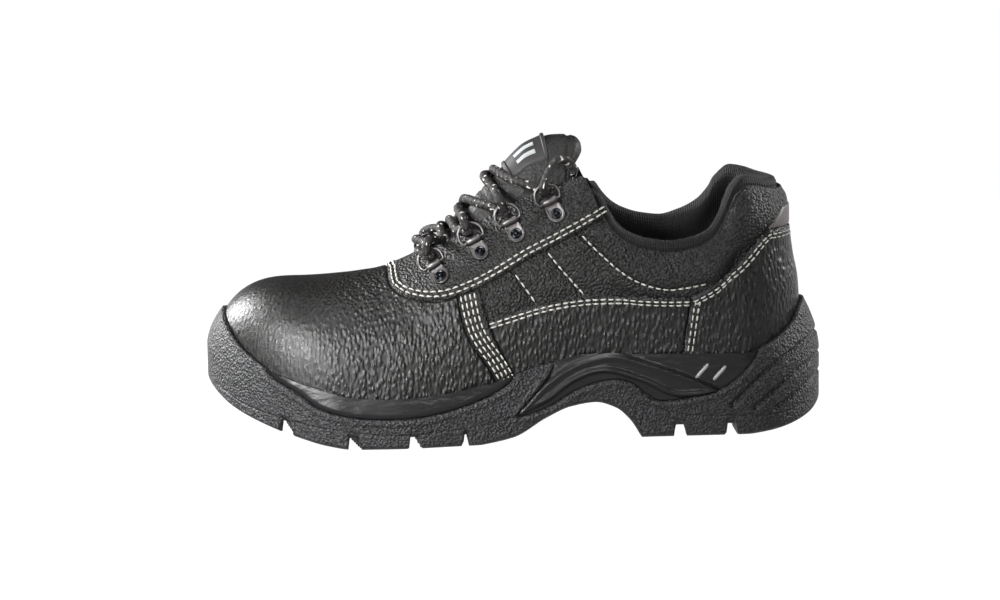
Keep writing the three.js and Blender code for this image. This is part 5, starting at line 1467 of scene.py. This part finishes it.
def plate_points():
    """The stamped plate: rings of its outline drawn in over a rolled border to a flat face."""
    half, low, top = PLATE_WIDTH / 2, -PLATE_LENGTH / 2, PLATE_LENGTH / 2 - PLATE_DROP
    corners = 72
    turn = np.linspace(0, -np.pi, 25)
    bowl = np.stack([half * 0.96 * np.cos(turn), low + half + half * 0.96 * np.sin(turn)], axis=1)
    outline = np.concatenate([[(half * 0.84, top), (half * 0.94, top - 3)], bowl,
                              [(-half * 0.94, top - 3), (-half * 0.84, top)]])
    outline = resample(np.concatenate([outline, outline[:1]]), corners + 1)[:-1]
    centre = np.array([0, -PLATE_DROP])
    rings = []
    for shrink, z in PLATE_BORDER:
        rings.append(np.column_stack([centre + (outline - centre) * shrink, np.full(corners, z)]))
    return np.array(rings)


def turned_profile(profile, sides=32):
    """A profile of radius and height turned about the outward axis: (r cos a, r sin a, z)."""
    radius, z = np.array(profile, float).T[:, :, None]
    a = np.linspace(0, 2 * np.pi, sides, endpoint=False)
    return np.stack(np.broadcast_arrays(radius * np.cos(a), radius * np.sin(a), z), axis=-1)


def ring_line():
    """The wire of the D ring: a bow of an ellipse and a straight bar through the plate's roll, tilted out."""
    angle = np.linspace(-0.5, np.pi + 0.5, 40)
    half = RING_WIDTH / 2
    bow = np.stack([half * np.cos(angle), half * np.sin(angle) * 0.94, 0 * angle], axis=1)
    bow[:, 1] -= bow[0, 1]
    bar = np.stack([np.linspace(bow[-1, 0], bow[0, 0], 12)[1:-1], np.zeros(10), np.zeros(10)], axis=1)
    line = np.concatenate([bow, bar])
    y, z = line[:, 1].copy(), line[:, 2].copy()
    line[:, 1] = y * math.cos(RING_TILT) - z * math.sin(RING_TILT) + HINGE_Y
    line[:, 2] = y * math.sin(RING_TILT) + z * math.cos(RING_TILT) + HINGE
    return line


def roll_points():
    """The plate's roll round the ring's bar: a short hollow cylinder with rounded rims, along x."""
    half, bore, rim, chamfer = PLATE_WIDTH * 0.42, 0.9, 1.72, 0.25
    ends = [(-half, bore), (-half, rim), (-half + chamfer, HINGE)]
    ends += [(-x, radius) for x, radius in reversed(ends)]
    x, radius = np.array(ends).T[:, :, None]
    turn = np.linspace(0, 2 * np.pi, 24, endpoint=False)
    y, z = HINGE_Y + radius * np.cos(turn), HINGE + radius * np.sin(turn)
    return np.stack(np.broadcast_arrays(x, y, z), axis=-1)


def eyelet_meshes(index, side, bright, dark):
    """One eyelet's plate, rivet and ring, each a piece of its own that stands for its CAD node."""
    frame_of = eyelet_frame(index, side)
    tag = "_" + SIDE_NAME[side] + "_" + str(index + 1)
    handed = side == MEDIAL
    plate, rivet, ring = Pile(), Pile(), Pile()
    plate.grid(placed(plate_points(), frame_of), flip=handed, wrap=True)
    plate.grid(placed(roll_points(), frame_of), flip=not handed, wrap=True)
    head = turned_profile(RIVET_PROFILE) - [0, PLATE_DROP, 0]
    rivet.grid(placed(head, frame_of), flip=handed, wrap=True)
    tube(ring, placed(ring_line(), frame_of), RING_WIRE / 2, 12, closed=True)
    for name, pile, metal in (("plate", plate, bright), ("rivet", rivet, dark), ("ring", ring, bright)):
        settle(pile.mesh(name + tag, metal), "eyelet_metal", "eyelet_" + name + tag)


# The crossings: where each strand passes over the tongue's crest, as shares of the upper's length, and how
# high. The bar's place and height follow.
CROSSINGS = [(0.606, 0.592, 1.5), (0.574, 0.56, 1.8), (0.531, 0.5165, 0.6)]
LATERAL_OVER, MEDIAL_UNDER = 0.9, 0.6
BAR_AT, BAR_LIFT = 0.632, 2.4
CREST_GAP, SHOULDER_GAP = 1.2, 3.3
TOP_RING = len(RIVETS) - 1

# The free end from the top ring: share of the length, height as a share of the upper's, and distance from
# the middle as a share of half the throat's width
LACE_TAIL = [(0.4306, 1.074, 1.3), (0.4149, 1.115, 1.16), (0.3976, 1.102, 1.04), (0.3872, 1.06, 0.98)]


def ring_centre(index, side):
    """The middle of a D ring, half its reach from the hinge along its tilt."""
    seat, outward, upward, _ = eyelet_frame(index, side)
    reach = RING_REACH * 0.5
    return (seat + upward * (HINGE_Y + reach * math.cos(RING_TILT))
            + outward * (HINGE + reach * math.sin(RING_TILT)))


def lace_over_tongue(share, arch, gap):
    """The middle of a lace that passes over the tongue with a gap under it."""
    return tongue_point(np.array(last_x(share)), np.array(arch), np.array(-(LACE / 2 + gap)))


def over_shoulder(ring, crest, arch, lift):
    """A strand's point over the tongue's shoulder, most of the way from its ring to the crest."""
    own = (UPPER_BACK - ring[0]) / UPPER_LENGTH
    return lace_over_tongue(own + (crest - own) * 0.85, arch, SHOULDER_GAP + lift)


def leaving(index, side, towards):
    """A strand's first points: up through its ring and over the ring's bow.

    The first medial strand rises least.
    """
    low = 0.25 if (index, side) == (0, MEDIAL) else 0.6
    ring = ring_centre(index, side)
    _, outward, _, _ = eyelet_frame(index, side)
    run = (towards - ring) / np.linalg.norm(towards - ring)
    return [ring - outward * 1.2 - run * 2.2, ring + outward * 1.6, ring + run * 1.4 + outward * 5.0,
            ring + run * RING_WIDTH * 0.56 + outward * (LACE / 2 + RING_REACH * low)]


def strand(index, side, crest, lift):
    """One crossing strand: up through a ring, over the tongue and down behind the next ring."""
    start, stop = ring_centre(index, side), ring_centre(index + 1, -side)
    near = over_shoulder(start, crest, side * 0.5, lift)
    far = over_shoulder(stop, crest, -side * 0.5, lift)
    top = lace_over_tongue(crest, 0.0, CREST_GAP + lift)
    _, outward, _, _ = eyelet_frame(index + 1, -side)
    back = (far - stop) / np.linalg.norm(far - stop)
    end = [stop + back * 9.0 + outward * 0.6, stop + back * 3.5 - outward * 0.4, stop - outward * 1.0]
    return np.array([*leaving(index, side, near), near, top, far, *end])


def lace_rows():
    """The lines of the lace's bar and crossings, each as smooth curves."""
    bar_top = lace_over_tongue(BAR_AT, 0.0, CREST_GAP + BAR_LIFT)
    half = []
    for side in SIDES:
        ring = ring_centre(0, side)
        _, outward, _, _ = eyelet_frame(0, side)
        half.append([ring - outward * 1.4 + [1.5, 0, -0.5], ring + outward * 0.6,
                     np.array([ring[0] - 4.6, ring[1] * 0.78, ring[2] + 1.6]),
                     np.array([bar_top[0], side * HALF_THROAT * 0.4, bar_top[2] - 0.6])])
    rows = {"lace_bar": [np.array(half[0] + [bar_top] + half[1][::-1])]}
    for i, (lateral, medial, lift) in enumerate(CROSSINGS):
        rows["lace_crossing_" + str(i + 1)] = [
            strand(i, LATERAL, lateral, lift + LATERAL_OVER), strand(i, MEDIAL, medial, lift - MEDIAL_UNDER)
        ]
    return rows


def lace_end_line():
    """The lace's free end: out of the top ring, over its bow and down into the shoe."""
    ring = ring_centre(TOP_RING, LATERAL)
    _, outward, _, _ = eyelet_frame(TOP_RING, LATERAL)
    rise = [ring - outward * 1.0, ring + outward * 1.6, ring + outward * 4.4 + [0, 0, LACE * 0.5]]
    tail = []
    for share, up, across in LACE_TAIL:
        tail.append(np.array([last_x(share), -across * HALF_THROAT, up * UPPER_HEIGHT]))
    return spline(np.array(rise + tail), 60)


# Stitches


def row_on_upper(line, side, across):
    """A side-view line laid on the surface and moved sideways on it, with the normals along it."""
    laid = resample(on_upper(spline(line, 900), side), 700)
    normal = upper_normal(laid, side)
    run = np.gradient(laid, axis=0)
    run /= np.linalg.norm(run, axis=1, keepdims=True)
    moved = laid + np.cross(normal, run) * across * side
    moved = on_upper(moved[:, [0, 2]], side)
    return moved, upper_normal(moved, side)


# A stitch: the gap after it, the points that it and the gap take, how deep its ends lie and how high it
# rises, the thread's radius at its ends and its swell, and how far a kept stitch lies from a seam
STITCH_GAP, STITCH_POINTS, GAP_POINTS = 0.9, 10, 2
STITCH_SUNK, STITCH_RISE = 0.35, 0.62
THREAD_END, THREAD_SWELL = 0.2, 0.26
CLEAR_OF_SEAM = 1.0


def stitch_row(pile, line, side, across, base, length, keep):
    """Separate stitches along a row: each a thread that rises out of the leather and dives back.

    Its height over the leather is base - sunk + rise * sin(pi t)^0.6, and its radius swells alike.
    """
    moved, normal = row_on_upper(line, side, across)
    count = max(1, int(length_of(moved) / (length + STITCH_GAP)))
    pace = STITCH_POINTS + GAP_POINTS
    points = resample(np.concatenate([moved, normal], axis=1), count * pace + 1)
    place, normal = points[:, :3], points[:, 3:]
    bow = np.sin(np.linspace(0, np.pi, STITCH_POINTS))[:, None] ** 0.6
    for start in range(0, count * pace, pace):
        some = slice(start, start + STITCH_POINTS)
        if keep is None or keep(place[start + STITCH_POINTS // 2]):
            thread = place[some] + normal[some] * (base - STITCH_SUNK + STITCH_RISE * bow)
            tube(pile, thread, THREAD_END + THREAD_SWELL * bow[:, 0], 6)


def height_on(seam, x):
    """The height of a side-view seam at a place along the shoe."""
    line = spline(seam, 300)
    return np.interp(x, line[:, 0], line[:, 1])


def below_facing(point):
    """Whether a stitch of the strap lies clear of the facing over it."""
    return point[2] < height_on(FACING_SEAM, point[0]) - CLEAR_OF_SEAM


def on_the_quarter(point):
    """Whether a quilting stitch lies between the facing above it and the panels below it."""
    if height_on(SIDE_PANEL_TOP + COUNTER_TOP[1:], point[0]) + CLEAR_OF_SEAM >= point[2]:
        return False
    behind_facing = point[0] > FACING_SEAM[-1][0]
    return behind_facing or below_facing(point)


def on_the_shoe(point):
    """Whether a stitch lies short of the back line."""
    return share_at(point[0], point[2]) > 0.004


# Rows of stitches: seam, distance from it across the leather, height over the upper, and which are kept
STITCH_ROWS = [
    (FACING_SEAM, -1.8, 2.25, None),
    (FACING_SEAM, -4.1, 2.25, None),
    (STRAP_FRONT, -1.4, 2.4, below_facing),
    (STRAP_FRONT, -3.6, 2.4, below_facing),
    (STRAP_FRONT, -5.9, 2.4, below_facing),
    (STRAP_FRONT, -8.1, 2.4, below_facing),
    (SIDE_PANEL_TOP, 1.6, 1.65, None),
    (SIDE_PANEL_TOP, 3.5, 1.65, None),
    (COUNTER_TOP, 1.7, 1.85, on_the_shoe),
    (COUNTER_TOP, 3.6, 1.85, on_the_shoe),
    (COUNTER_FRONT, 2.0, 1.85, None),
    (COUNTER_FRONT, 4.2, 1.85, None),
    *((line, 0.0, -0.5, on_the_quarter) for line in QUILTING),
]


# Property groups


class SneakerColours(bpy.types.PropertyGroup):
    leather: bpy.props.StringProperty(name="Leather", description="Colour of the leather", default="#080808")
    leather_light: bpy.props.StringProperty(
        name="Worn leather", description="Lighter tone of the leather", default="#0d0c0b"
    )
    rubber: bpy.props.StringProperty(name="Rubber", description="Colour of the outsole", default="#070708")
    foam: bpy.props.StringProperty(name="Foam", description="Colour of the midsole", default="#09090a")
    mesh: bpy.props.StringProperty(
        name="Lining", description="Colour of the collar's mesh", default="#070708"
    )
    thread: bpy.props.StringProperty(name="Thread", description="Colour of the stitches", default="#787772")
    lace: bpy.props.StringProperty(name="Lace", description="Main colour of the laces", default="#100e0e")
    fleck: bpy.props.StringProperty(name="Lace fleck", description="Tracer yarn's colour", default="#96928c")
    metal: bpy.props.StringProperty(name="Eyelets", description="Colour of the eyelets", default="#413f3f")


class SneakerSizes(bpy.types.PropertyGroup):
    pebble: bpy.props.FloatProperty(
        name="Pebble", description="Width of one pebble of the grain in millimetres", default=1.4, min=0.3
    )
    pebble_depth: bpy.props.FloatProperty(
        name="Pebble depth", description="Depth of the grain in millimetres", default=0.62, min=0.0
    )
    panel: bpy.props.FloatProperty(
        name="Panel", description="Thickness of a leather panel in millimetres", default=1.5, min=0.5
    )
    stitch: bpy.props.FloatProperty(
        name="Stitch", description="Length of one stitch in millimetres", default=2.7, min=1.0
    )


class SneakerStage(bpy.types.PropertyGroup):
    azimuth: bpy.props.FloatProperty(
        name="Azimuth", description="Turn of the camera about the shoe", default=math.radians(-3),
        subtype="ANGLE",
    )
    elevation: bpy.props.FloatProperty(
        name="Elevation", description="Height of the camera over the floor", default=math.radians(10),
        subtype="ANGLE",
    )
    roll: bpy.props.FloatProperty(
        name="Roll", description="Roll of the camera", default=math.radians(-0.8), subtype="ANGLE"
    )
    distance: bpy.props.FloatProperty(
        name="Distance", description="Distance from the camera to the shoe", default=1.6, unit="LENGTH"
    )


# Operators

# The studio's soft lights: name, place and aim in metres, side, power in watts and spread in radians
LIGHTS = [
    ("key", (-0.66, -0.66, 0.42), (-0.16, -0.04, 0.05), 0.34, 1.9, 0.46),
    ("side", (-0.62, -1.25, 0.2), (-0.12, 0, 0.05), 0.3, 0.42, 0.36),
    ("top", (0.1, -0.3, 1.2), (0.02, 0, 0.09), 0.3, 1.8, 1.2),
    ("front", (0.25, -1.3, 0.6), (-0.02, 0, 0.09), 0.2, 0.16, 0.3),
    ("toe_rim", (-1.0, 0.55, 0.5), (-0.13, 0, 0.06), 0.35, 4, 0.8),
    ("heel_rim", (1.1, 0.35, 0.5), (0.14, 0, 0.09), 0.35, 1.7, 0.8),
]
FLOOR_HALF = 4000
WORLD_STRENGTH, FLOOR_GLOW = 0.05, 1.0

# The camera: what it aims at, its sensor, and how many pixels of a 1000 pixel wide picture a millimetre takes
AIM = np.array([-0.0067, 0.0, 0.0632])
SENSOR, PICTURE_WIDTH, PIXELS_PER_MM = 36, 1000, 2.017

# The order in which the operators build the shoe
STEPS = ("stage", "lace_end", "sole", "upper", "collar", "tongue", "eyelets", "laces", "stitches")


def white(socket):
    """Sets a colour socket to white."""
    socket.default_value = (1, 1, 1, 1)


class SNEAKER_OT_stage(bpy.types.Operator):
    """Make the pale floor, the soft lights and the camera"""

    bl_idname = "sneaker.stage"
    bl_label = "Stage"

    def execute(self, context):
        stage = context.scene.sneaker_stage
        floor, _, shader = material("Backlit white acrylic table", "#2a2a2a", 0.9)
        white(shader.inputs["Emission Color"])
        shader.inputs["Emission Strength"].default_value = FLOOR_GLOW
        corners = FLOOR_HALF * np.array([(-1, -1, 0), (1, -1, 0), (1, 1, 0), (-1, 1, 0)])
        make_mesh("studio_floor", corners, [[0, 1, 2, 3]], floor, smooth=False)
        world = context.scene.world or bpy.data.worlds.new("Studio")
        context.scene.world = world
        world.use_nodes = True
        backdrop = world.node_tree.nodes["Background"]
        white(backdrop.inputs["Color"])
        backdrop.inputs["Strength"].default_value = WORLD_STRENGTH
        context.scene.view_settings.view_transform = "Standard"
        for name, place, aim, size, power, spread in LIGHTS:
            lamp = bpy.data.lights.new(name + "_softbox", "AREA")
            lamp.shape, lamp.size, lamp.energy, lamp.spread = "SQUARE", size, power, spread
            thing = bpy.data.objects.new(name + "_softbox", lamp)
            context.collection.objects.link(thing)
            thing.matrix_world = looking(np.array(place), np.array(aim), 0.0)
        a, e = stage.azimuth, stage.elevation
        back = np.array([math.sin(a) * math.cos(e), -math.cos(a) * math.cos(e), math.sin(e)])
        lens = bpy.data.cameras.new("Camera")
        lens.sensor_width = SENSOR
        lens.lens = SENSOR * stage.distance / (PICTURE_WIDTH / PIXELS_PER_MM * MM)
        lens.clip_start = 0.01
        camera = bpy.data.objects.new("Camera", lens)
        context.collection.objects.link(camera)
        camera.matrix_world = looking(AIM + back * stage.distance, AIM, stage.roll)
        context.scene.camera = camera
        return {"FINISHED"}


def looking(place, aim, roll):
    """A matrix whose -Z points from a place to an aim, rolled about that line."""
    back = (place - aim) / np.linalg.norm(place - aim)
    right = np.cross([0, 0, 1], back)
    right /= np.linalg.norm(right)
    up = np.cross(back, right)
    turned = math.cos(roll) * right + math.sin(roll) * up
    above = np.cross(back, turned)
    rows = [[*map(float, (turned[i], above[i], back[i], place[i]))] for i in range(3)]
    return Matrix([*rows, [0, 0, 0, 1]])


class SNEAKER_OT_upper(bpy.types.Operator):
    """Make the upper's shell and its leather panels"""

    bl_idname = "sneaker.upper"
    bl_label = "Upper"

    def execute(self, context):
        colours, sizes = context.scene.sneaker_colours, context.scene.sneaker_sizes
        fine = pebbled_leather("Fine-grained leather", colours.leather, colours.leather_light, 1.0, 0.75,
                               (1, 1, 1), 0.42)
        pebbled = pebbled_leather("Pebbled corrected leather", colours.leather, colours.leather_light,
                                  sizes.pebble, sizes.pebble_depth, (1.1, 1.0, 0.5), 0.31, -75)
        cloth = plain_cloth("Knitted lining", colours.mesh, 1.0, 0.25, 0.9)
        outer, inner = shell_meshes(fine, cloth)
        settle(outer, "fine_leather", "upper")
        settle(inner, "collar_mesh", "upper")
        rise = sizes.panel
        vamp = panel_mesh("vamp_leather", "vamp", rise, pebbled, cut=("facing", "strap"))
        settle(vamp, "pebbled_leather", "vamp")
        settle(panel_mesh("facing_leather", "facing", rise + FACING_OVER, fine), "fine_leather", "facing")
        counter = panel_mesh("counter_leather", "counter", rise + COUNTER_OVER, pebbled)
        settle(counter, "pebbled_leather", "counter")
        for side in SIDES:
            tag = SIDE_NAME[side]
            strap = "vamp_strap_" + tag
            piece = panel_mesh(strap + "_leather", "strap", rise + STRAP_OVER, fine, (side,), ("facing",))
            settle(piece, "fine_leather", strap)
            low = "side_panel_" + tag
            piece = panel_mesh(low + "_leather", "side_panel", rise, pebbled, (side,), ("counter", "strap"))
            settle(piece, "pebbled_leather", low)
        tape = plain_finish("Woven reflective tape", "#3a3735", 0.5, 900.0)
        settle(panel_mesh("heel_tab_tape", "heel_tab", rise, tape), "reflective_fabric", "heel_tab")
        return {"FINISHED"}


class SNEAKER_OT_sole(bpy.types.Operator):
    """Make the grained outsole and the smooth midsole"""

    bl_idname = "sneaker.sole"
    bl_label = "Sole"

    def execute(self, context):
        colours = context.scene.sneaker_colours
        rubber = stippled_rubber("Moulded stippled rubber", colours.rubber, 1.25, 0.75, 0.5)
        foam = smooth_foam("Moulded polyurethane skin", colours.foam, 0.34)
        outsole, midsole = sole_meshes(rubber, foam)
        settle(outsole, "outsole_rubber", "outsole")
        settle(midsole, "midsole_foam", "midsole")
        # Painted sheen: the bars' light grey stands in for the shine of the polished rubber.
        settle(slash_bars(smooth_foam("Rubber bars with painted sheen", "#626264", 0.35)), "midsole_foam", "midsole")
        return {"FINISHED"}


class SNEAKER_OT_collar(bpy.types.Operator):
    """Make the padded collar of mesh and its binding"""

    bl_idname = "sneaker.collar"
    bl_label = "Collar"

    def execute(self, context):
        colours = context.scene.sneaker_colours
        cloth = ribbed_mesh("Ribbed spacer mesh", colours.mesh)
        roll, rings = collar_mesh(cloth)
        settle(roll, "collar_mesh", "collar_lining")
        tape = plain_cloth("Folded binding tape", "#222224", 0.5, 0.1, 0.7)
        settle(collar_binding(rings, tape), "collar_mesh")
        foot = plain_cloth("Footbed textile", "#1b1b1d", 0.9, 0.2, 0.95)
        insole = bpy.data.objects["insole"]
        insole.data.materials.clear()
        insole.data.materials.append(foot)
        return {"FINISHED"}


class SNEAKER_OT_tongue(bpy.types.Operator):
    """Make the padded tongue and its badge"""

    bl_idname = "sneaker.tongue"
    bl_label = "Tongue"

    def execute(self, context):
        colours = context.scene.sneaker_colours
        fine = pebbled_leather("Fine-grained leather", colours.leather, colours.leather_light, 1.1, 0.2,
                               (1, 1, 1), 0.5)
        tongue = tongue_mesh(fine)
        settle(tongue, "fine_leather", "tongue")
        body = plain_finish("Moulded badge rubber", "#100e0e", 0.55, 1400.0, 0.04)
        light = plain_finish("Printed light bars", "#6e7072", 0.5, 1400.0, 0.03)
        settle(badge_patches("tongue_badge_plate", BADGE_PLATE, body), "badge_rubber", "tongue_badge")
        settle(badge_patches("tongue_badge_bars", BADGE_BARS, light), "badge_rubber", "tongue_badge")
        return {"FINISHED"}


class SNEAKER_OT_eyelets(bpy.types.Operator):
    """Make the eight D-ring eyelets"""

    bl_idname = "sneaker.eyelets"
    bl_label = "Eyelets"

    def execute(self, context):
        colours = context.scene.sneaker_colours
        bright = plain_finish("Plated steel", colours.metal, 0.42, 900.0, 0.03, metallic=1.0)
        dark = plain_finish("Blackened steel", "#1c1d20", 0.22, 900.0, 0.02, metallic=1.0)
        for side in SIDES:
            for index in range(len(RIVETS)):
                eyelet_meshes(index, side, bright, dark)
        return {"FINISHED"}


class SNEAKER_OT_lace_end(bpy.types.Operator):
    """Make the lace's free end, from the top ring into the shoe"""

    bl_idname = "sneaker.lace_end"
    bl_label = "Lace end"

    def execute(self, context):
        colours = context.scene.sneaker_colours
        cord = braided_cord("Braided lace", colours.lace, colours.fleck)
        line = lace_end_line()
        pile = Pile()
        tube(pile, line, LACE / 2, 20)
        piece = settle(pile.mesh("lace_end_cord", cord), "lace_cord", "lace_end")
        return {"FINISHED"}


class SNEAKER_OT_laces(bpy.types.Operator):
    """Make the lace's bar and crossings"""

    bl_idname = "sneaker.laces"
    bl_label = "Laces"

    def execute(self, context):
        colours = context.scene.sneaker_colours
        cord = braided_cord("Braided lace", colours.lace, colours.fleck)
        for node, lines in lace_rows().items():
            pile = Pile()
            for line in lines:
                tube(pile, spline(line, 90), LACE / 2, 20)
            settle(pile.mesh(node + "_cord", cord), "lace_cord", node)
        return {"FINISHED"}


class SNEAKER_OT_stitches(bpy.types.Operator):
    """Sew the rows of light stitches on both sides"""

    bl_idname = "sneaker.stitches"
    bl_label = "Stitches"

    def execute(self, context):
        colours, sizes = context.scene.sneaker_colours, context.scene.sneaker_sizes
        thread = plain_finish("Twisted polyester thread", colours.thread, 0.75, 2500.0)
        for side in SIDES:
            pile = Pile()
            for line, across, base, keep in STITCH_ROWS:
                stitch_row(pile, line, side, across, base, sizes.stitch, keep)
            settle(pile.mesh("stitches_" + SIDE_NAME[side], thread), "fine_leather")
        return {"FINISHED"}


class SNEAKER_PT_panel(bpy.types.Panel):
    """Lists the steps that build the shoe"""

    bl_idname = "SNEAKER_PT_panel"
    bl_label = "Safety sneaker"
    bl_space_type = "VIEW_3D"
    bl_region_type = "UI"
    bl_category = "Sneaker"

    def draw(self, context):
        for step in STEPS:
            self.layout.operator("sneaker." + step)
        for group in ("sneaker_colours", "sneaker_sizes", "sneaker_stage"):
            data = getattr(context.scene, group)
            for name in data.bl_rna.properties.keys():
                if name not in ("rna_type", "name"):
                    self.layout.prop(data, name)


CLASSES = [
    SneakerColours, SneakerSizes, SneakerStage, SNEAKER_OT_stage, SNEAKER_OT_sole, SNEAKER_OT_upper,
    SNEAKER_OT_collar, SNEAKER_OT_tongue, SNEAKER_OT_eyelets, SNEAKER_OT_lace_end, SNEAKER_OT_laces,
    SNEAKER_OT_stitches, SNEAKER_PT_panel,
]


def register():
    """Makes the classes and the scene's properties known to Blender."""
    for cls in CLASSES:
        bpy.utils.register_class(cls)
    bpy.types.Scene.sneaker_colours = bpy.props.PointerProperty(type=SneakerColours)
    bpy.types.Scene.sneaker_sizes = bpy.props.PointerProperty(type=SneakerSizes)
    bpy.types.Scene.sneaker_stage = bpy.props.PointerProperty(type=SneakerStage)


def unregister():
    """Takes back what register did."""
    del bpy.types.Scene.sneaker_colours, bpy.types.Scene.sneaker_sizes, bpy.types.Scene.sneaker_stage
    for cls in reversed(CLASSES):
        bpy.utils.unregister_class(cls)


def main():
    """Builds the shoe step by step."""
    register()
    for step in STEPS:
        getattr(bpy.ops.sneaker, step)()


if __name__ == "__main__":
    main()
